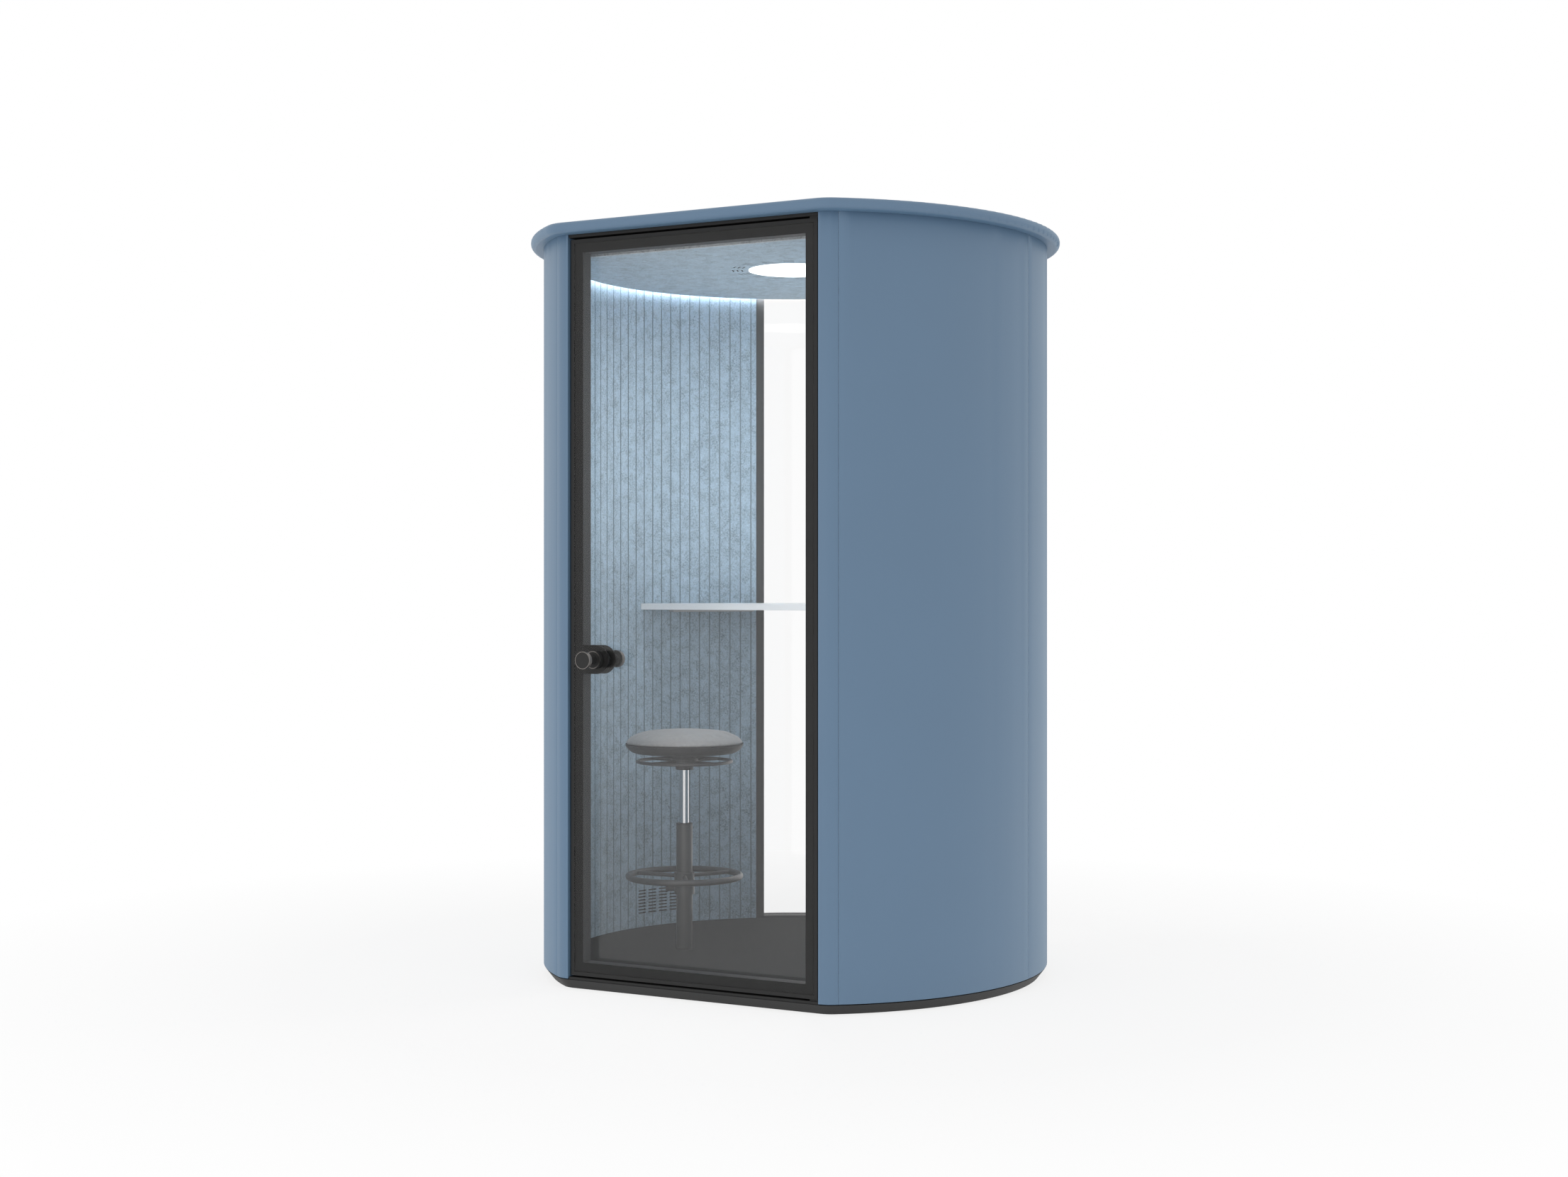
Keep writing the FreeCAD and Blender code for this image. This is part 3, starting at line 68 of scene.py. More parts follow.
# Turns that make a lamp face down, back or up
FACE_DOWN = Euler((0.0, 0.0, 0.0))
FACE_BACK = Euler((math.pi / 2, 0.0, 0.0))
FACE_UP = Euler((math.pi, 0.0, 0.0))


class Body(Enum):
    """The rigid bodies that the scene's own pieces ride on."""

    SEAT = "seat"


class Ray(Enum):
    """Kinds of ray, each by the Light Path output that tells it."""

    CAMERA = "Is Camera Ray"
    GLOSSY = "Is Glossy Ray"
    TRANSMISSION = "Is Transmission Ray"
    DIFFUSE = "Is Diffuse Ray"
    SHADOW = "Is Shadow Ray"


class LampShape(Enum):
    """Outlines of a lamp's face."""

    ROUND = "DISK"
    SQUARE = "SQUARE"


def linear(colour: Colour) -> tuple[float, float, float, float]:
    """Turn a display colour into scene-linear light.

    Args:
        colour: Red, green and blue from 0 to 255, as a screen shows them.

    Returns:
        Linear red, green and blue with full alpha.
    """
    light = []
    for part in (value / DISPLAY_TOP for value in colour):
        if part <= STRAIGHT_END:
            light.append(part / STRAIGHT_SLOPE)
        else:
            light.append(((part + CURVE_SHIFT) / (1 + CURVE_SHIFT)) ** CURVE_POWER)
    return (light[0], light[1], light[2], 1.0)


class Wiring:
    """A node tree with short ways to add and join nodes."""

    def __init__(self, tree: bpy.types.NodeTree) -> None:
        """Keep the tree to work on."""
        self.tree = tree

    def add(self, kind: str, **settings: object) -> bpy.types.Node:
        """Add one node.

        Args:
            kind: Blender's name for the node type.
            **settings: Attributes to set on the node.

        Returns:
            The new node.
        """
        node = self.tree.nodes.new(kind)
        for key, value in settings.items():
            setattr(node, key, value)
        return node

    def join(self, source: bpy.types.NodeSocket, target: bpy.types.NodeSocket) -> None:
        """Link an output to an input."""
        self.tree.links.new(source, target)

    def fill(self, target: bpy.types.NodeSocket, value: object) -> None:
        """Link a socket to an input, or set a plain value on it.

        Args:
            target: The input.
            value: A socket to link or a value to set.
        """
        if isinstance(value, bpy.types.NodeSocket):
            self.join(value, target)
        else:
            target.default_value = value

    def feed(self, node: bpy.types.Node, values: dict[str, object]) -> None:
        """Fill a node's inputs from sockets or plain values.

        Args:
            node: The node whose inputs are filled.
            values: Input names, each with a socket to link or a value to set.
        """
        for name, value in values.items():
            self.fill(node.inputs[name], value)

    def place(self) -> bpy.types.NodeSocket:
        """A piece's own coordinates."""
        return self.add("ShaderNodeTexCoord").outputs["Object"]

    def axes(self) -> dict[str, bpy.types.NodeSocket]:
        """Take a piece's own coordinates apart.

        Returns:
            The coordinates under X, Y and Z.
        """
        parts = self.add("ShaderNodeSeparateXYZ")
        self.join(self.place(), parts.inputs[0])
        return {axis: parts.outputs[axis] for axis in "XYZ"}

    def reach(self, axes: dict[str, bpy.types.NodeSocket]) -> bpy.types.NodeSocket:
        """Measure how far a place is from the upright axis.

        Args:
            axes: The place's coordinates under X and Y.

        Returns:
            The distance.
        """
        flat = self.add("ShaderNodeCombineXYZ")
        self.feed(flat, {"X": axes["X"], "Y": axes["Y"]})
        return self.length(flat.outputs[0])

    def length(self, vector: bpy.types.NodeSocket) -> bpy.types.NodeSocket:
        """Measure a vector.

        Args:
            vector: The vector.

        Returns:
            Its length.
        """
        node = self.add("ShaderNodeVectorMath", operation="LENGTH")
        self.join(vector, node.inputs[0])
        return node.outputs["Value"]

    def noise(self, place: bpy.types.NodeSocket, **values: object) -> bpy.types.NodeSocket:
        """A noise field over a place.

        Args:
            place: The coordinates that the noise follows.
            **values: Noise inputs such as Scale, Detail, Roughness and Distortion.

        Returns:
            The noise value.
        """
        node = self.add("ShaderNodeTexNoise")
        self.feed(node, {"Vector": place, **values})
        return node.outputs["Fac"]

    def spread(self, value: bpy.types.NodeSocket, low: float, high: float) -> bpy.types.NodeSocket:
        """Stretch a band of values over nought to one.

        Args:
            value: The value to stretch.
            low: What becomes nought.
            high: What becomes one.

        Returns:
            The stretched value, held between nought and one.
        """
        node = self.add("ShaderNodeMapRange")
        self.feed(node, {"Value": value, "From Min": low, "From Max": high})
        return node.outputs["Result"]

    def maths(self, operation: str, first: object, second: object) -> bpy.types.NodeSocket:
        """Join two numbers by an operation.

        Args:
            operation: Blender's name for the operation.
            first: A socket or a number.
            second: A socket or a number.

        Returns:
            The result.
        """
        node = self.add("ShaderNodeMath", operation=operation)
        for slot, value in enumerate((first, second)):
            self.fill(node.inputs[slot], value)
        return node.outputs[0]

    def blend(self, share: object, first: object, second: object) -> bpy.types.NodeSocket:
        """Mix two colours.

        Args:
            share: How much of the second colour shows, a socket or a number.
            first: A colour or a socket.
            second: A colour or a socket.

        Returns:
            The mixed colour.
        """
        node = self.add("ShaderNodeMix", data_type="RGBA")
        for slot, value in zip(MIX_INPUTS, (share, first, second)):
            self.fill(node.inputs[slot], value)
        return node.outputs[MIX_OUTPUT]


class Effect:
    """Shader node groups, each built at its first use and placed with a finish's own values."""

    BLOTCH_NOISE = {"Detail": 4.0, "Roughness": 0.6, "Distortion": 0.6}
    FLECK_NOISE = {"Detail": 5.0, "Roughness": 0.74, "Distortion": 0.6}
    FIBRE_NOISE = {"Detail": 2.0, "Roughness": 0.6, "Distortion": 1.5}
    DRIFT_NOISE = {"Detail": 3.0, "Roughness": 0.5, "Distortion": 0.2}
    GRAIN_NOISE = {"Detail": 2.0, "Roughness": 0.5, "Distortion": 0.0}
    BLOTCH_SPAN = (0.36, 0.66)
    DARK_SPAN = (0.64, 0.84)
    PALE_SPAN = (0.52, 0.7)
    DRIFT_SPAN = (0.3, 0.7)
    # Depths in metres over which the painted shade of a cut sets in
    CUT_SPAN = (0.0003, 0.0012)
    # How far the pale flecks' noise lies from the dark ones', how blotches crowd flecks, and a fleck's height
    PALE_SHIFT = (3.7, 1.9, 5.3)
    CROWDING = 0.35
    FLECK_HEIGHT = 0.5

    @staticmethod
    def start(
        name: str, inputs: dict[str, float], outputs: list[str]
    ) -> tuple[Wiring, dict[str, bpy.types.NodeSocket], dict[str, bpy.types.NodeSocket]]:
        """Open a new group.

        Args:
            name: The group's name.
            inputs: Input names with their defaults.
            outputs: Output names.

        Returns:
            The group's wiring, its input sockets and its output sockets by name.
        """
        tree = bpy.data.node_groups.new(name, "ShaderNodeTree")
        for label, value in inputs.items():
            socket = tree.interface.new_socket(name=label, in_out="INPUT", socket_type="NodeSocketFloat")
            socket.default_value = value
        for label in outputs:
            tree.interface.new_socket(name=label, in_out="OUTPUT", socket_type="NodeSocketFloat")
        wiring = Wiring(tree)
        entry = wiring.add("NodeGroupInput")
        leave = wiring.add("NodeGroupOutput")
        given = {socket.name: socket for socket in entry.outputs if socket.name}
        put = {socket.name: socket for socket in leave.inputs if socket.name}
        return wiring, given, put

    @classmethod
    @cache
    def fibres(cls) -> bpy.types.NodeTree:
        """Pressed fibres: broad blotches, short dark flecks, pale flecks and a fuzzy height.

        Returns:
            The effect's group.
        """
        wiring, given, put = cls.start(
            "Pressed Fibres",
            {"Blotch Scale": 40.0, "Fleck Scale": 220.0, "Fibre Scale": 900.0},
            ["Blotch", "Dark Fleck", "Pale Fleck", "Height"],
        )
        place = wiring.place()
        blotch = wiring.noise(place, Scale=given["Blotch Scale"], **cls.BLOTCH_NOISE)
        fleck = wiring.noise(place, Scale=given["Fleck Scale"], **cls.FLECK_NOISE)
        shifted = wiring.add("ShaderNodeVectorMath", operation="ADD")
        wiring.fill(shifted.inputs[0], place)
        wiring.fill(shifted.inputs[1], cls.PALE_SHIFT)
        pale = wiring.noise(shifted.outputs[0], Scale=given["Fleck Scale"], **cls.FLECK_NOISE)
        fibre = wiring.noise(place, Scale=given["Fibre Scale"], **cls.FIBRE_NOISE)
        crowded = wiring.maths("ADD", fleck, wiring.maths("MULTIPLY", blotch, cls.CROWDING))
        height = wiring.maths("ADD", wiring.maths("MULTIPLY", fleck, cls.FLECK_HEIGHT), fibre)
        wiring.join(wiring.spread(blotch, *cls.BLOTCH_SPAN), put["Blotch"])
        wiring.join(wiring.spread(crowded, *cls.DARK_SPAN), put["Dark Fleck"])
        wiring.join(wiring.spread(pale, *cls.PALE_SPAN), put["Pale Fleck"])
        wiring.join(height, put["Height"])
        return wiring.tree

    @classmethod
    @cache
    def deep_cuts(cls) -> bpy.types.NodeTree:
        """Places that lie in a groove of the round wall, or in a slot of the wall or the flat ceiling, where
        shade is painted.

        Returns:
            The effect's group.
        """
        wiring, given, put = cls.start(
            "Deep Cuts",
            {"Wall Radius": 1.0, "Groove Depth": 0.004, "Ceiling Height": 2.0, "Slot Reach": 0.3},
            ["Groove", "Slot"],
        )
        axes = wiring.axes()
        radius = wiring.reach(axes)
        sunk = wiring.maths("SUBTRACT", radius, given["Wall Radius"])
        deeper = wiring.maths("SUBTRACT", sunk, given["Groove Depth"])
        raised = wiring.maths("SUBTRACT", axes["Z"], given["Ceiling Height"])
        near = wiring.maths("LESS_THAN", radius, given["Slot Reach"])
        overhead = wiring.maths("MULTIPLY", wiring.spread(raised, *cls.CUT_SPAN), near)
        slot = wiring.maths("MAXIMUM", overhead, wiring.spread(deeper, *cls.CUT_SPAN))
        wiring.join(wiring.spread(sunk, *cls.CUT_SPAN), put["Groove"])
        wiring.join(slot, put["Slot"])
        return wiring.tree

    @classmethod
    @cache
    def depth_band(cls) -> bpy.types.NodeTree:
        """Places that lie between a front and a back depth, where light is painted.

        Returns:
            The effect's group.
        """
        wiring, given, put = cls.start("Depth Band", {"Front": 0.0, "Back": 0.0}, ["Inside"])
        depth = wiring.axes()["Y"]
        behind = wiring.maths("GREATER_THAN", depth, given["Front"])
        before = wiring.maths("LESS_THAN", depth, given["Back"])
        wiring.join(wiring.maths("MULTIPLY", behind, before), put["Inside"])
        return wiring.tree

    @classmethod
    @cache
    def wall_seams(cls) -> bpy.types.NodeTree:
        """Places behind the round wall's face and away from the doorway, as in the panels' seams, where light
        is painted.

        Returns:
            The effect's group.
        """
        inputs = {"Wall Radius": 1.0, "Doorway Reach": 0.0}
        wiring, given, put = cls.start("Wall Seams", inputs, ["Inside"])
        axes = wiring.axes()
        behind = wiring.maths("LESS_THAN", wiring.reach(axes), given["Wall Radius"])
        across = wiring.maths("MAXIMUM", axes["X"], wiring.maths("MULTIPLY", axes["X"], -1.0))
        beside = wiring.maths("GREATER_THAN", across, given["Doorway Reach"])
        wiring.join(wiring.maths("MULTIPLY", behind, beside), put["Inside"])
        return wiring.tree

    @classmethod
    @cache
    def grain(cls) -> bpy.types.NodeTree:
        """A coat's fine grain: a slow drift of tone and a small even roughness.

        Returns:
            The effect's group.
        """
        inputs = {"Drift Scale": 3.0, "Grain Scale": 900.0}
        wiring, given, put = cls.start("Coat Grain", inputs, ["Drift", "Height"])
        place = wiring.place()
        drift = wiring.noise(place, Scale=given["Drift Scale"], **cls.DRIFT_NOISE)
        grain = wiring.noise(place, Scale=given["Grain Scale"], **cls.GRAIN_NOISE)
        wiring.join(wiring.spread(drift, *cls.DRIFT_SPAN), put["Drift"])
        wiring.join(grain, put["Height"])
        return wiring.tree


@dataclass(frozen=True)
class Finish:
    """A surface finish that becomes one material."""

    name: str
    colour: Colour
    roughness: float

    def open(self) -> tuple[bpy.types.Material, Wiring, bpy.types.Node]:
        """Start the material with its plain values.

        Returns:
            The material, its wiring and its Principled node.
        """
        material = bpy.data.materials.new(self.name)
        material.use_nodes = True
        wiring = Wiring(material.node_tree)
        shader = material.node_tree.nodes["Principled BSDF"]
        wiring.feed(shader, {"Base Color": linear(self.colour), "Roughness": self.roughness})
        return material, wiring, shader

    def make(self) -> bpy.types.Material:
        """Build the material."""
        raise NotImplementedError

    @staticmethod
    def effect(wiring: Wiring, tree: bpy.types.NodeTree, values: dict[str, float]) -> bpy.types.Node:
        """Place an effect in a material.

        Args:
            wiring: The material's wiring.
            tree: The effect's group.
            values: The group's inputs for this material.

        Returns:
            The placed group.
        """
        node = wiring.add("ShaderNodeGroup", node_tree=tree)
        wiring.feed(node, values)
        return node

    @staticmethod
    def raise_surface(
        wiring: Wiring, shader: bpy.types.Node, height: bpy.types.NodeSocket, strength: float, depth: float
    ) -> None:
        """Give a shader a bump.

        Args:
            wiring: The material's wiring.
            shader: The Principled node.
            height: The height field.
            strength: How strongly the bump shows.
            depth: The bump's depth in metres.
        """
        bump = wiring.add("ShaderNodeBump")
        wiring.feed(bump, {"Height": height, "Strength": strength, "Distance": depth})
        wiring.join(bump.outputs["Normal"], shader.inputs["Normal"])


@dataclass(frozen=True)
class Band:
    """Faces that lie between two panes, and the lighter colour painted on them as light."""

    outer_pane: str
    inner_pane: str
    colour: Colour

    def paint(self, wiring: Wiring, colour: bpy.types.NodeSocket) -> bpy.types.NodeSocket:
        """Lay the band's painted light over another colour.

        Args:
            wiring: The material's wiring.
            colour: The colour outside the band.

        Returns:
            The colour with the band's painted light on it.
        """
        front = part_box(self.outer_pane)[1].y
        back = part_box(self.inner_pane)[0].y
        band = Finish.effect(wiring, Effect.depth_band(), {"Front": front, "Back": back})
        return wiring.blend(band.outputs["Inside"], colour, linear(self.colour))


@dataclass(frozen=True)
class Seam:
    """Faces that lie inside the seams of the round wall, and the pale colour painted on them as light so the
    seams read less dark.
    """

    face_radius: float
    doorway_reach: float
    colour: Colour

    def paint(self, wiring: Wiring, colour: bpy.types.NodeSocket) -> bpy.types.NodeSocket:
        """Keep a colour on the wall's face and lay pale painted light inside the seams behind it.

        Args:
            wiring: The material's wiring.
            colour: The colour of the open face.

        Returns:
            The colour with the seams on it.
        """
        values = {"Wall Radius": self.face_radius, "Doorway Reach": self.doorway_reach}
        seam = Finish.effect(wiring, Effect.wall_seams(), values)
        return wiring.blend(seam.outputs["Inside"], colour, linear(self.colour))


@dataclass(frozen=True)
class Coat(Finish):
    """Paint, powder coat, plastic or metal with a fine grain."""

    metallic: float = 0.0
    drift: float = 0.04
    drift_scale: float = 3.0
    grain_scale: float = 900.0
    grain_strength: float = 0.1
    grain_depth: float = 0.0004
    shine: float = 0.5
    sheen: float = 0.0
    sheen_tint: Colour = (255.0, 255.0, 255.0)
    # Painted light laid over the coat's colour: lighter faces between the door panes, or pale faces inside
    # the wall seams
    band: Band | Seam | None = None

    def make(self) -> bpy.types.Material:
        """Build the material.

        Returns:
            The finish's material.
        """
        material, wiring, shader = self.open()
        wiring.feed(shader, {"Metallic": self.metallic, "Specular IOR Level": self.shine})
        wiring.feed(shader, {"Sheen Weight": self.sheen, "Sheen Tint": linear(self.sheen_tint)})
        values = {"Drift Scale": self.drift_scale, "Grain Scale": self.grain_scale}
        grain = self.effect(wiring, Effect.grain(), values)
        light = linear(self.colour)
        shade = tuple(part * (1 - 2 * self.drift) for part in light[:3]) + (1.0,)
        colour = wiring.blend(grain.outputs["Drift"], shade, light)
        # Lay the painted light between the panes or inside the seams
        if self.band:
            colour = self.band.paint(wiring, colour)
        wiring.join(colour, shader.inputs["Base Color"])
        low = self.roughness - self.drift
        rise = wiring.maths("MULTIPLY", grain.outputs["Drift"], 2 * self.drift)
        wiring.join(wiring.maths("ADD", rise, low), shader.inputs["Roughness"])
        self.raise_surface(wiring, shader, grain.outputs["Height"], self.grain_strength, self.grain_depth)
        return material


@dataclass(frozen=True)
class Cuts:
    """Where felt is cut, and the colours of the shade painted on its cut faces."""

    wall_radius: float
    groove_depth: float
    ceiling_height: float
    slot_reach: float
    groove_shade_colour: Colour
    slot_shade_colour: Colour

    def shade(self, wiring: Wiring, colour: bpy.types.NodeSocket) -> bpy.types.NodeSocket:
        """Paint shade into a colour inside grooves and slots.

        Args:
            wiring: The material's wiring.
            colour: The colour of the open face.

        Returns:
            The colour with shade painted in its cuts.
        """
        values = {
            "Wall Radius": self.wall_radius,
            "Groove Depth": self.groove_depth,
            "Ceiling Height": self.ceiling_height,
            "Slot Reach": self.slot_reach,
        }
        cuts = Finish.effect(wiring, Effect.deep_cuts(), values)
        grooved = wiring.blend(cuts.outputs["Groove"], colour, linear(self.groove_shade_colour))
        return wiring.blend(cuts.outputs["Slot"], grooved, linear(self.slot_shade_colour))


@dataclass(frozen=True)
class Fibre(Finish):
    """Felt, carpet or melange cloth."""

    dark: Colour = (0.0, 0.0, 0.0)
    pale: Colour = (255.0, 255.0, 255.0)
    blotch_scale: float = 40.0
    fleck_scale: float = 220.0
    fibre_scale: float = 900.0
    blotch_share: float = 0.6
    fleck_share: float = 0.6
    strength: float = 0.6
    depth: float = 0.001
    shine: float = 0.2
    sheen: float = 0.2
    sheen_roughness: float = 0.6
    cuts: Cuts | None = None

    def make(self) -> bpy.types.Material:
        """Build the material.

        Returns:
            The finish's material.
        """
        material, wiring, shader = self.open()
        wiring.feed(shader, {"Sheen Weight": self.sheen, "Sheen Roughness": self.sheen_roughness})
        wiring.feed(shader, {"Specular IOR Level": self.shine})
        values = {
            "Blotch Scale": self.blotch_scale,
            "Fleck Scale": self.fleck_scale,
            "Fibre Scale": self.fibre_scale,
        }
        fibres = self.effect(wiring, Effect.fibres(), values)
        colour = linear(self.colour)
        for mark, share, tone in (
            ("Blotch", self.blotch_share, self.dark),
            ("Dark Fleck", self.fleck_share, self.dark),
            ("Pale Fleck", self.fleck_share, self.pale),
        ):
            shown = wiring.maths("MULTIPLY", fibres.outputs[mark], share)
            colour = wiring.blend(shown, colour, linear(tone))
        if self.cuts:
            colour = self.cuts.shade(wiring, colour)
        wiring.join(colour, shader.inputs["Base Color"])
        self.raise_surface(wiring, shader, fibres.outputs["Height"], self.strength, self.depth)
        return material


@dataclass(frozen=True)
class Glass(Finish):
    """Clear glass that lets lamp light through."""

    index: float = 1.32

    def make(self) -> bpy.types.Material:
        """Build the material.

        Returns:
            The finish's material.
        """
        material, wiring, shader = self.open()
        wiring.feed(shader, {"Transmission Weight": 1.0, "IOR": self.index})
        surface = shader.outputs["BSDF"]
        for ray in (Ray.DIFFUSE, Ray.SHADOW):
            surface = self.let_through(wiring, surface, ray)
        wiring.join(surface, material.node_tree.nodes["Material Output"].inputs["Surface"])
        return material

    def let_through(self, wiring: Wiring, surface: bpy.types.NodeSocket, ray: Ray) -> bpy.types.NodeSocket:
        """Make a surface plainly clear to one kind of ray.

        Args:
            wiring: The material's wiring.
            surface: The shader that other rays meet.
            ray: The kind of ray that passes.

        Returns:
            The mixed shader.
        """
        clear = wiring.add("ShaderNodeBsdfTransparent")
        clear.inputs["Color"].default_value = linear(self.colour)
        path = wiring.add("ShaderNodeLightPath")
        mix = wiring.add("ShaderNodeMixShader")
        wiring.join(path.outputs[ray.value], mix.inputs[0])
        wiring.join(surface, mix.inputs[1])
        wiring.join(clear.outputs["BSDF"], mix.inputs[2])
        return mix.outputs["Shader"]


@dataclass(frozen=True)
class Lit(Finish):
    """A surface that shines by itself."""

    strength: float = 1.0

    def make(self) -> bpy.types.Material:
        """Build the material.

        Returns:
            The finish's material.
        """
        material, wiring, shader = self.open()
        wiring.feed(shader, {"Emission Color": linear(self.colour), "Emission Strength": self.strength})
        return material


class Finishes:
    """All of the pod's finishes, each made once."""

    PANEL = Coat(
        "panel_blue_paint",
        (94, 121, 147),
        0.48,
        drift=0.015,
        grain_scale=700.0,
        grain_strength=0.05,
        shine=0.6,
        sheen=0.1,
        sheen_tint=(160, 220, 255),
    )
    # Painted light: the faces inside the wall seams are painted pale, so the gaps read less dark
    SEAMED = replace(
        PANEL,
        name="seamed_blue_paint",
        band=Seam(face_radius=0.7593, doorway_reach=0.447, colour=(225, 240, 252)),
    )
    PLINTH = Coat("plinth_dark_paint", (48, 48, 48), 0.6, shine=0.35)
    BOARD = Coat("bare_board", (168, 142, 112), 0.7, drift=0.08, drift_scale=20.0, grain_strength=0.2)
    CORE = Fibre("fibre_core", (84, 86, 88), 0.95, dark=(60, 61, 62), pale=(110, 112, 114))
    CARPET = Fibre(
        "carpet_dark",
        (32, 32, 34),
        0.95,
        dark=(16, 16, 17),
        pale=(58, 58, 61),
        blotch_scale=30.0,
        fleck_scale=320.0,
        fibre_scale=700.0,
        blotch_share=0.35,
        fleck_share=0.75,
        depth=0.002,
        sheen=0.0,
    )
    FELT = Fibre(
        "felt_blue",
        (168, 191, 207),
        0.95,
        dark=(76, 90, 98),
        pale=(202, 222, 235),
        blotch_scale=26.0,
        fleck_scale=210.0,
        fibre_scale=800.0,
        blotch_share=0.12,
        fleck_share=0.7,
        depth=0.0012,
        # Painted shade: the felt's groove and slot faces are darkened where light would not reach
        cuts=Cuts(
            wall_radius=0.691,
            groove_depth=0.004,
            ceiling_height=2.121,
            slot_reach=0.3,
            groove_shade_colour=(138, 157, 169),
            slot_shade_colour=(16, 18, 20),
        ),
    )
    # Painted light: a lighter, greyer copy of the wall felt for the fascia, which sits in shade
    FASCIA = Fibre(
        "felt_fascia_painted_light",
        (192, 198, 201),
        0.95,
        dark=(98, 102, 104),
        pale=(218, 223, 225),
        blotch_scale=26.0,
        fleck_scale=170.0,
        fibre_scale=800.0,
        blotch_share=0.1,
        fleck_share=0.7,
        depth=0.0012,
    )
    BLACK = Coat(
        "metal_black_coat", (40, 40, 40), 0.6, drift=0.01, grain_scale=1400.0, grain_strength=0.0, shine=0.3
    )
    # Painted light: the frame's faces between the door panes are painted lighter than the black coat
    LEAF = replace(
        BLACK,
        name="leaf_black_coat",
        band=Band("door_glass_outer", "door_glass_inner", (62, 63, 64)),
    )
    GREY = Coat("metal_grey_coat", (48, 49, 50), 0.6, grain_scale=1400.0)
    GLASS = Glass("glass_clear", (254, 254, 254), 0.0)
    RUBBER = Coat("rubber_black", (26, 26, 26), 0.8, grain_strength=0.2)
    DESK = Coat("desk_white_laminate", (244, 245, 246), 0.4, drift=0.01, grain_strength=0.06)
    LEDGER = Coat("ledger_grey_coat", (188, 188, 188), 0.5)
    STOOL = Coat("stool_dark_coat", (60, 61, 62), 0.36, grain_scale=1500.0, grain_strength=0.05, shine=0.7)
    CHROME = Coat("chrome_bright", (222, 223, 225), 0.05, metallic=1.0, drift=0.02, grain_strength=0.0)
    NICKEL = Coat("ring_dark_nickel", (128, 124, 121), 0.35, metallic=1.0, drift=0.02, grain_strength=0.0)
    STEEL = Coat("steel_bare", (160, 160, 160), 0.35, metallic=1.0, drift=0.05)
    DARK_PLASTIC = Coat("plastic_dark", (46, 47, 48), 0.55, grain_scale=1600.0, grain_strength=0.2)
    WHITE_PLASTIC = Coat("plastic_white", (228, 228, 228), 0.5)
    DIFFUSER = Lit("light_diffuser_lit", (255, 254, 250), 0.5, strength=1.2)
    STRIP = Lit("light_strip_lit", (246, 250, 255), 0.5, strength=46.0)
    TAB = Coat("tab_black_print", (40, 40, 40), 0.4, drift=0.01, grain_strength=0.02, shine=0.3)
    SEAT = Fibre(
        "seat_melange",
        (148, 147, 147),
        0.9,
        dark=(92, 92, 92),
        pale=(196, 195, 195),
        blotch_scale=120.0,
        fleck_scale=520.0,
        fibre_scale=1500.0,
        blotch_share=0.15,
        depth=0.0003,
        sheen=0.3,
    )
    HOUSING = Coat("housing_sheet", (200, 200, 200), 0.4, metallic=1.0)

    @staticmethod
    @cache
    def of(finish: Finish) -> bpy.types.Material:
        """The material of a finish, built at its first use."""
        return finish.make()


def dress_node(node: str, finish: Finish, bevel: float = 0.0) -> None:
    """Give a CAD node its finish and eased edges.

    Args:
        node: The node's name.
        finish: Its finish.
        bevel: Width of the eased edge in metres, or nought for none.
    """
    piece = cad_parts[node]
    piece.data.materials.clear()
    piece.data.materials.append(Finishes.of(finish))
    if bevel > 0:
        weld = piece.modifiers.new("weld", "WELD")
        weld.merge_threshold = WELD_GAP
        ease = piece.modifiers.new("eased_edges", "BEVEL")
        ease.width = bevel
        ease.segments = EDGE_STEPS
        ease.limit_method = "ANGLE"
        ease.angle_limit = EDGE_ANGLE
        ease.harden_normals = True
    LOG.info("%s: %s", node, finish.name)


def lathe(name: str, profile: list[tuple[float, float]], centre: Vector, segments: int) -> bpy.types.Object:
    """Turn a half profile about an upright axis.

    Args:
        name: The new object's name.
        profile: Radius and height pairs, from the axis at the bottom to the axis at the top.
        centre: A point on the axis.
        segments: Steps round the axis.

    Returns:
        The closed turned mesh.
    """
    mesh = bmesh.new()
    rings = []
    for radius, height in profile:
        if radius == 0:
            rings.append([mesh.verts.new((centre.x, centre.y, height))])
            continue
        ring = []
        for step in range(segments):
            angle = 2 * math.pi * step / segments
            spot = (centre.x + radius * math.cos(angle), centre.y + radius * math.sin(angle), height)
            ring.append(mesh.verts.new(spot))
        rings.append(ring)
    for low, high in zip(rings, rings[1:]):
        for step in range(segments):
            after = (step + 1) % segments
            corners = [low[step % len(low)], low[after % len(low)]]
            corners += [high[after % len(high)], high[step % len(high)]]
            mesh.faces.new(list(dict.fromkeys(corners)))
    bmesh.ops.recalc_face_normals(mesh, faces=mesh.faces[:])
    data = bpy.data.meshes.new(name)
    mesh.to_mesh(data)
    mesh.free()
    piece = bpy.data.objects.new(name, data)
    bpy.context.scene.collection.objects.link(piece)
    return piece


def settle(piece: bpy.types.Object) -> None:
    """Replace an object's mesh by what its modifiers make of it.

    Args:
        piece: The object.
    """
    graph = bpy.context.evaluated_depsgraph_get()
    made = bpy.data.meshes.new_from_object(piece.evaluated_get(graph))
    piece.modifiers.clear()
    piece.data = made


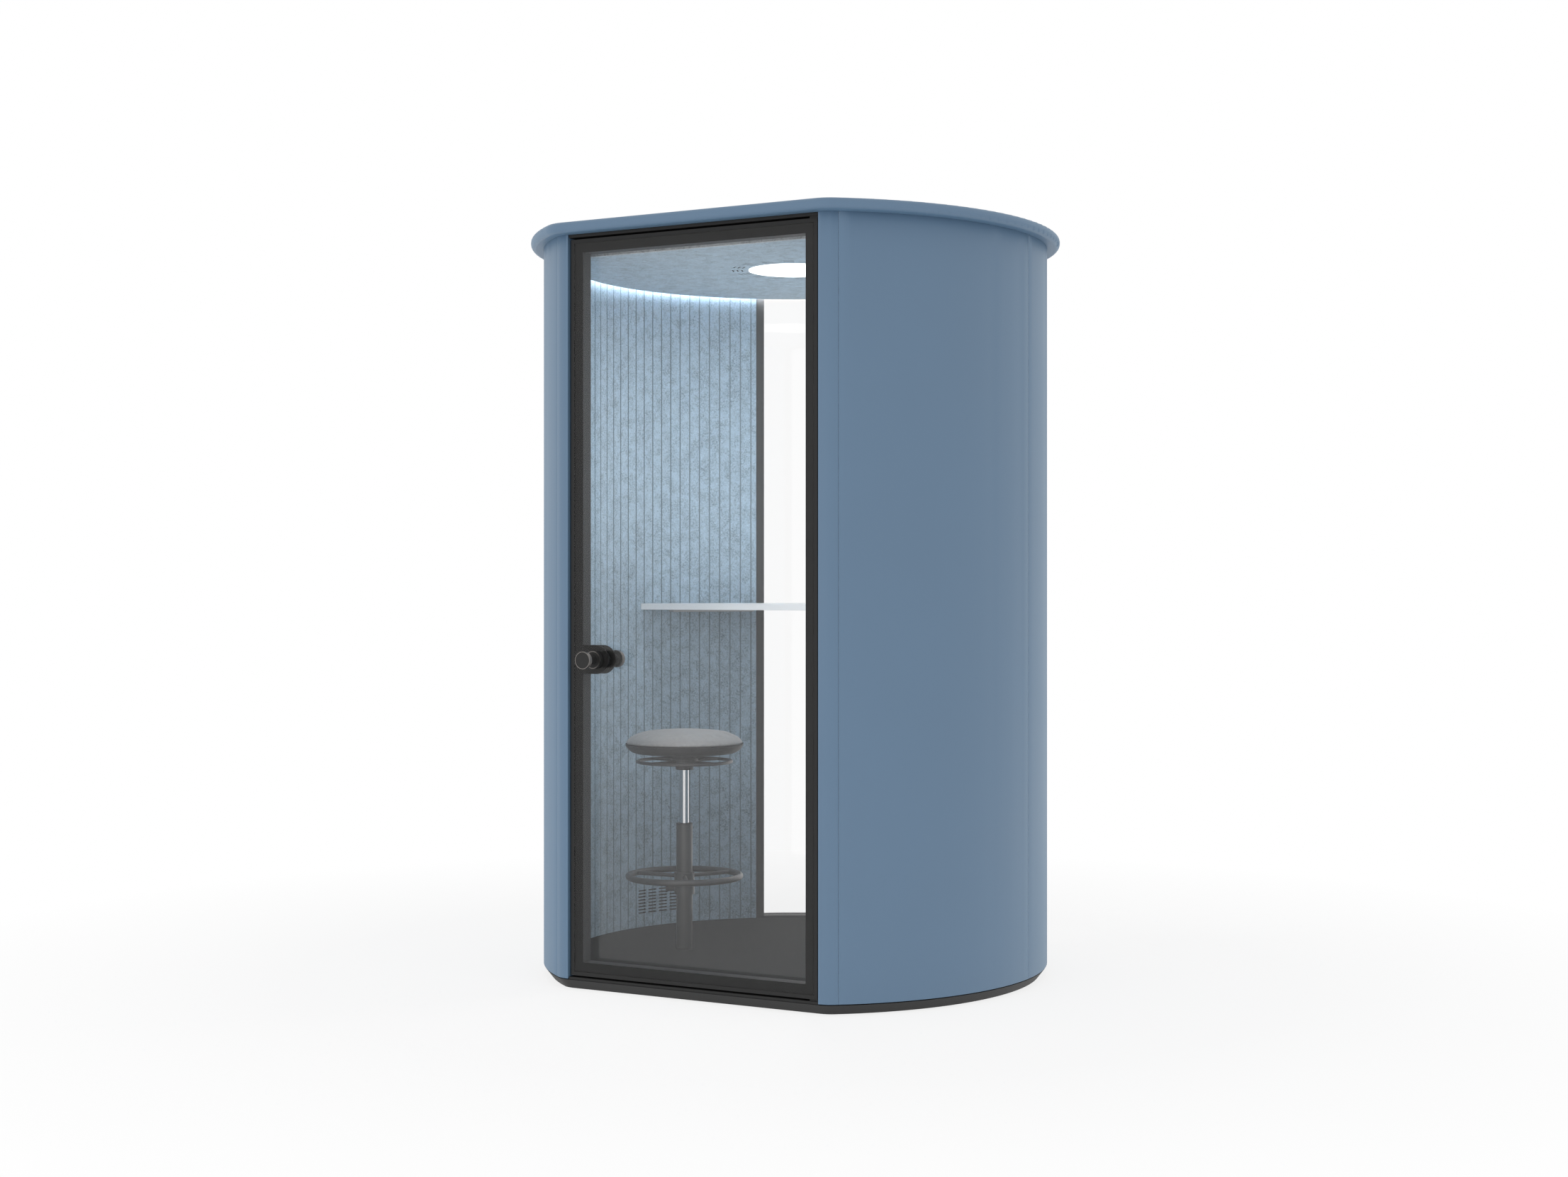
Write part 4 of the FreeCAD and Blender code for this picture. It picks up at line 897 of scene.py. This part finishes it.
def hang_lamp(
    name: str, place: Vector, turn: Euler, size: float, power: float, shape: LampShape = LampShape.ROUND
) -> None:
    """Hang one soft lamp whose face itself isn't seen.

    Args:
        name: The lamp's name.
        place: Its middle.
        turn: Its turn from facing down.
        size: The width of its face.
        power: Its power in watts.
        shape: The outline of its face.
    """
    lamp = bpy.data.lights.new(name, "AREA")
    lamp.shape = shape.value
    lamp.size = size
    lamp.energy = power
    holder = bpy.data.objects.new(name, lamp)
    holder.location = place
    holder.rotation_euler = turn
    holder.visible_camera = False
    holder.visible_glossy = False
    holder.visible_transmission = False
    bpy.context.scene.collection.objects.link(holder)


@dataclass
class Shell:
    """Plinth, floor, outer panels, pillars, walls, rear window and roof."""

    panel_edge: float = 0.0005
    trim_edge: float = 0.0008

    def dress(self) -> None:
        """Give the shell its finishes."""
        for place in ("front_left", "front_right", "rear_left", "rear_right"):
            dress_node(f"outer_panel_{place}", Finishes.SEAMED, self.panel_edge)
        for side in ("left", "right"):
            dress_node(f"front_pillar_{side}", Finishes.SEAMED, self.panel_edge)
            dress_node(f"wall_core_{side}", Finishes.CORE)
            dress_node(f"felt_wall_{side}", Finishes.FELT)
            dress_node(f"rear_post_{side}", Finishes.GREY, self.trim_edge)
        dress_node("roof_cap", Finishes.PANEL)
        dress_node("base_plinth", Finishes.PLINTH)
        dress_node("levelling_feet", Finishes.DARK_PLASTIC)
        dress_node("threshold", Finishes.BLACK, self.trim_edge)
        dress_node("floor_deck", Finishes.BOARD)
        dress_node("floor_carpet", Finishes.CARPET)
        dress_node("rear_sill", Finishes.GREY, self.trim_edge)
        dress_node("rear_head", Finishes.PLINTH)
        dress_node("rear_glass", Finishes.GLASS)


@dataclass
class Ceiling:
    """Felt ceiling, light, cove strip, power unit and fan."""

    lamp_power: float = 4.0
    lamp_drop: float = 0.004
    bounce_power: float = 2.6
    bounce_height: float = 1.15
    bounce_size: float = 0.7
    doorway_place: float = -0.5
    doorway_power: float = 1.7

    def dress(self) -> None:
        """Give the ceiling its finishes."""
        dress_node("ceiling_panel", Finishes.FELT)
        dress_node("ceiling_fascia", Finishes.FASCIA)
        dress_node("ceiling_carrier", Finishes.BOARD)
        dress_node("led_strip", Finishes.STRIP)
        dress_node("light_diffuser", Finishes.DIFFUSER)
        dress_node("light_housing", Finishes.HOUSING)
        dress_node("led_driver", Finishes.WHITE_PLASTIC)
        dress_node("fan_housing", Finishes.DARK_PLASTIC)
        dress_node("fan_rotor", Finishes.DARK_PLASTIC)

    def light(self) -> None:
        """Hang a round lamp under the diffuser, and weak ones for light off the desk and in at the door."""
        low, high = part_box("light_diffuser")
        middle = (low + high) / 2
        down = Vector((middle.x, middle.y, low.z - self.lamp_drop))
        hang_lamp("ceiling_light", down, FACE_DOWN, high.x - low.x, self.lamp_power)
        up = Vector((middle.x, middle.y, self.bounce_height))
        hang_lamp("desk_bounce", up, FACE_UP, self.bounce_size, self.bounce_power)
        inside = Vector((middle.x, self.doorway_place, self.bounce_height))
        hang_lamp("doorway_fill", inside, FACE_BACK, self.bounce_size, self.doorway_power)


@dataclass
class Door:
    """Door leaf, panes, knob, pivots, stops and seals."""

    edge: float = 0.0008

    def dress(self) -> None:
        """Give the door and its frame their finishes."""
        for node in ("door_header", "door_stops"):
            dress_node(node, Finishes.BLACK, self.edge)
        dress_node("door_leaf_frame", Finishes.LEAF, self.edge)
        for node in ("door_glass_outer", "door_glass_inner"):
            dress_node(node, Finishes.GLASS)
        for node in ("knob_spindle", "knob_rosettes", "knob_discs"):
            dress_node(node, Finishes.BLACK)
        dress_node("door_seals", Finishes.RUBBER)
        dress_node("knob_rings", Finishes.NICKEL)
        dress_node("knob_tabs", Finishes.TAB)
        dress_node("knob_spacer", Finishes.DARK_PLASTIC)
        dress_node("pivot_shoes", Finishes.BLACK)
        dress_node("pivot_pins", Finishes.STEEL)
        dress_node("pivot_bushes", Finishes.DARK_PLASTIC)


@dataclass
class Desk:
    """Desk top and its ledgers."""

    edge: float = 0.001

    def dress(self) -> None:
        """Give the desk its finishes."""
        dress_node("desk_top", Finishes.DESK, self.edge)
        dress_node("desk_ledgers", Finishes.LEDGER)


@dataclass
class Stool:
    """Column, gas lift, foot ring, lever and padded seat."""

    body: Body = Body.SEAT
    # The cushion's outline: how far its flat base is drawn in, then shares of its radius and height
    tuck: float = 0.002
    base_share: float = 0.5
    dome: tuple[tuple[float, float], ...] = (
        (1.0, 0.08),
        (0.997, 0.2),
        (0.975, 0.38),
        (0.935, 0.54),
        (0.86, 0.69),
        (0.75, 0.79),
        (0.58, 0.88),
        (0.33, 0.965),
    )
    segments: int = 96
    voxel: float = 0.005
    # The cover: how it is blown out, how far at most, and how it is evened out after that
    pressure: float = 4.0
    cover_quality: int = 6
    cover_mass: float = 0.3
    cover_stretch: float = 40.0
    cover_bend: float = 2.0
    sim_frames: int = 20
    furthest_move: float = 0.003
    smooth_factor: float = 0.5
    smooth_rounds: int = 6
    finer_levels: int = 1
    piping_radius: float = 0.0016
    piping_segments: int = 8

    def dress(self) -> None:
        """Give the stool's hard pieces their finishes."""
        for node in ("stool_flange", "stool_column", "foot_ring", "lift_ring"):
            dress_node(node, Finishes.STOOL)
        for node in ("guide_bush", "seat_hub", "seat_shell", "clamp_screw"):
            dress_node(node, Finishes.DARK_PLASTIC)
        dress_node("gas_piston_rod", Finishes.STEEL)
        dress_node("gas_cylinder", Finishes.CHROME)

    def build_cushion(self) -> None:
        """Make the padded seat, let it swell, and put it in the CAD cushion's place."""
        low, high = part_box("seat_cushion")
        centre = (low + high) / 2
        radius = (high.x - low.x) / 2
        tall = high.z - low.z
        profile = [(0.0, low.z), (radius * self.base_share, low.z), (radius - self.tuck, low.z)]
        profile += [(radius * out, low.z + tall * up) for out, up in self.dome]
        profile += [(0.0, high.z)]
        cushion = lathe("seat_cushion_padded", profile, centre, self.segments)
        remesh = cushion.modifiers.new("even_faces", "REMESH")
        remesh.mode = "VOXEL"
        remesh.voxel_size = self.voxel
        settle(cushion)
        self.swell(cushion, low.z)
        smooth = cushion.modifiers.new("even_out", "SMOOTH")
        smooth.factor = self.smooth_factor
        smooth.iterations = self.smooth_rounds
        finer = cushion.modifiers.new("finer", "SUBSURF")
        finer.levels = self.finer_levels
        finer.render_levels = self.finer_levels
        settle(cushion)
        cushion.data.shade_smooth()
        cushion.data.materials.clear()
        cushion.data.materials.append(Finishes.of(Finishes.SEAT))
        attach(cushion, self.body.value)
        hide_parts("seat_cushion")
        LOG.info("seat_cushion_padded: %d faces", len(cushion.data.polygons))
        self.build_piping(centre, radius - self.tuck, low.z)

    def swell(self, cushion: bpy.types.Object, seam: float) -> None:
        """Blow the cover out against its sewn edge.

        Args:
            cushion: The cushion's mesh.
            seam: Height of the seam, just above which the cover starts to move.
        """
        held = cushion.vertex_groups.new(name="sewn_edge")
        start = [vertex.co.copy() for vertex in cushion.data.vertices]
        held.add([i for i, spot in enumerate(start) if spot.z < seam + self.voxel], 1.0, "REPLACE")
        cloth = cushion.modifiers.new("cover", "CLOTH")
        cloth.settings.quality = self.cover_quality
        cloth.settings.mass = self.cover_mass
        cloth.settings.tension_stiffness = self.cover_stretch
        cloth.settings.compression_stiffness = self.cover_stretch
        cloth.settings.bending_stiffness = self.cover_bend
        cloth.settings.vertex_group_mass = "sewn_edge"
        cloth.settings.use_pressure = True
        cloth.settings.uniform_pressure_force = self.pressure
        cloth.settings.effector_weights.gravity = 0.0
        cloth.point_cache.frame_start = 1
        cloth.point_cache.frame_end = self.sim_frames
        scene = bpy.context.scene
        for step in range(1, self.sim_frames + 1):
            scene.frame_set(step)
        settle(cushion)
        scene.frame_set(1)
        for vertex, old in zip(cushion.data.vertices, start):
            move = vertex.co - old
            if move.length > self.furthest_move:
                vertex.co = old + move.normalized() * self.furthest_move

    def build_piping(self, centre: Vector, radius: float, height: float) -> None:
        """Lay thin dark piping in the seam under the cushion.

        Args:
            centre: A point on the stool's axis.
            radius: The seam's radius.
            height: The seam's height.
        """
        bpy.ops.mesh.primitive_torus_add(
            major_segments=self.segments,
            minor_segments=self.piping_segments,
            major_radius=radius + self.piping_radius,
            minor_radius=self.piping_radius,
            location=(centre.x, centre.y, height + self.piping_radius),
        )
        piping = bpy.context.object
        piping.name = "seat_piping"
        piping.data.shade_smooth()
        piping.data.materials.append(Finishes.of(Finishes.RUBBER))
        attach(piping, self.body.value)
        LOG.info("seat_piping laid")


@dataclass
class Stage:
    """Floor, soft light and camera."""

    camera_place: tuple[float, float, float] = (3.1301, -5.8344, 1.1537)
    camera_turn: float = 28.51
    lens: float = 50.0
    sensor: float = 36.0
    floor_half: float = 30.0
    floor_shade: float = 0.9
    floor_roughness: float = 0.9
    floor_glow: float = 0.8
    shadow_reach: float = 3.0
    sky: float = 0.8
    soft_size: float = 4.0
    aim_height: float = 1.1
    key_place: tuple[float, float, float] = (-1.6, -6.2, 1.6)
    key_power: float = 63.0
    fill_place: tuple[float, float, float] = (6.5, -2.0, 3.0)
    fill_power: float = 28.0
    bounce_lift: float = 0.001
    bounce_size: float = 4.4
    bounce_power: float = 11.0

    def build(self) -> None:
        """Lay the floor, light the pod and set the camera."""
        self.lay_floor()
        self.light_sky()
        self.aim_lamp("key", Vector(self.key_place), self.key_power)
        self.aim_lamp("fill", Vector(self.fill_place), self.fill_power)
        ground = Vector((0.0, 0.0, self.bounce_lift))
        hang_lamp("floor_bounce", ground, FACE_UP, self.bounce_size, self.bounce_power)
        self.set_camera()

    def aim_lamp(self, name: str, place: Vector, power: float) -> None:
        """Hang a large square lamp that faces the pod.

        Args:
            name: The lamp's name.
            place: Where it hangs.
            power: Its power in watts.
        """
        aim = Vector((0.0, 0.0, self.aim_height)) - place
        turn = aim.to_track_quat("-Z", "Y").to_euler()
        hang_lamp(name, place, turn, self.soft_size, power, LampShape.SQUARE)

    def set_camera(self) -> None:
        """Set a level camera at the photograph's viewing angle."""
        camera = bpy.data.cameras.new("camera")
        camera.lens = self.lens
        camera.sensor_width = self.sensor
        camera.sensor_fit = "HORIZONTAL"
        holder = bpy.data.objects.new("camera", camera)
        holder.location = self.camera_place
        holder.rotation_euler = (math.pi / 2, 0.0, math.radians(self.camera_turn))
        bpy.context.scene.collection.objects.link(holder)
        bpy.context.scene.camera = holder

    def lay_floor(self) -> None:
        """A pale floor that keeps the pod's soft shadow."""
        bpy.ops.mesh.primitive_plane_add(size=2 * self.floor_half, location=(0, 0, 0))
        floor = bpy.context.object
        floor.name = "floor"
        material = bpy.data.materials.new("floor_pale")
        material.use_nodes = True
        wiring = Wiring(material.node_tree)
        away = wiring.length(wiring.place())
        fade = wiring.spread(away, self.shadow_reach / 2, self.shadow_reach)
        lift = wiring.maths("MULTIPLY", fade, 1.0 - self.floor_glow)
        plain = wiring.maths("ADD", lift, self.floor_glow)
        shader = material.node_tree.nodes["Principled BSDF"]
        pale = (self.floor_shade, self.floor_shade, self.floor_shade, 1.0)
        wiring.feed(shader, {"Base Color": pale, "Roughness": self.floor_roughness})
        wiring.feed(shader, {"Specular IOR Level": 0.0})
        glow = wiring.add("ShaderNodeEmission")
        mix = wiring.add("ShaderNodeMixShader")
        wiring.join(wiring.maths("MULTIPLY", self.seen(wiring), plain), mix.inputs[0])
        wiring.join(shader.outputs["BSDF"], mix.inputs[1])
        wiring.join(glow.outputs["Emission"], mix.inputs[2])
        wiring.join(mix.outputs["Shader"], material.node_tree.nodes["Material Output"].inputs["Surface"])
        floor.data.materials.append(material)

    @staticmethod
    def seen(wiring: Wiring) -> bpy.types.NodeSocket:
        """Tell the rays that the camera, a mirror or glass sends out.

        Args:
            wiring: The material's or the world's wiring.

        Returns:
            One for such rays, else nought.
        """
        told = wiring.add("ShaderNodeLightPath").outputs
        mirrored = wiring.maths("MAXIMUM", told[Ray.GLOSSY.value], told[Ray.TRANSMISSION.value])
        return wiring.maths("MAXIMUM", told[Ray.CAMERA.value], mirrored)

    def light_sky(self) -> None:
        """A white surround that lights the pod softly and shows as plain white."""
        world = bpy.data.worlds.new("surround")
        world.use_nodes = True
        bpy.context.scene.world = world
        wiring = Wiring(world.node_tree)
        background = world.node_tree.nodes["Background"]
        background.inputs["Color"].default_value = (1.0, 1.0, 1.0, 1.0)
        lift = wiring.maths("MULTIPLY", self.seen(wiring), 1.0 - self.sky)
        wiring.join(wiring.maths("ADD", lift, self.sky), background.inputs["Strength"])


def main() -> None:
    """Build and dress the pod, then set the stage."""
    logging.basicConfig(level=logging.INFO)
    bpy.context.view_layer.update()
    bpy.context.scene.view_settings.view_transform = "Standard"
    ceiling = Ceiling()
    stool = Stool()
    for part in (Shell(), ceiling, Door(), Desk(), stool):
        part.dress()
    ceiling.light()
    stool.build_cushion()
    Stage().build()


if __name__ == "__main__":
    main()
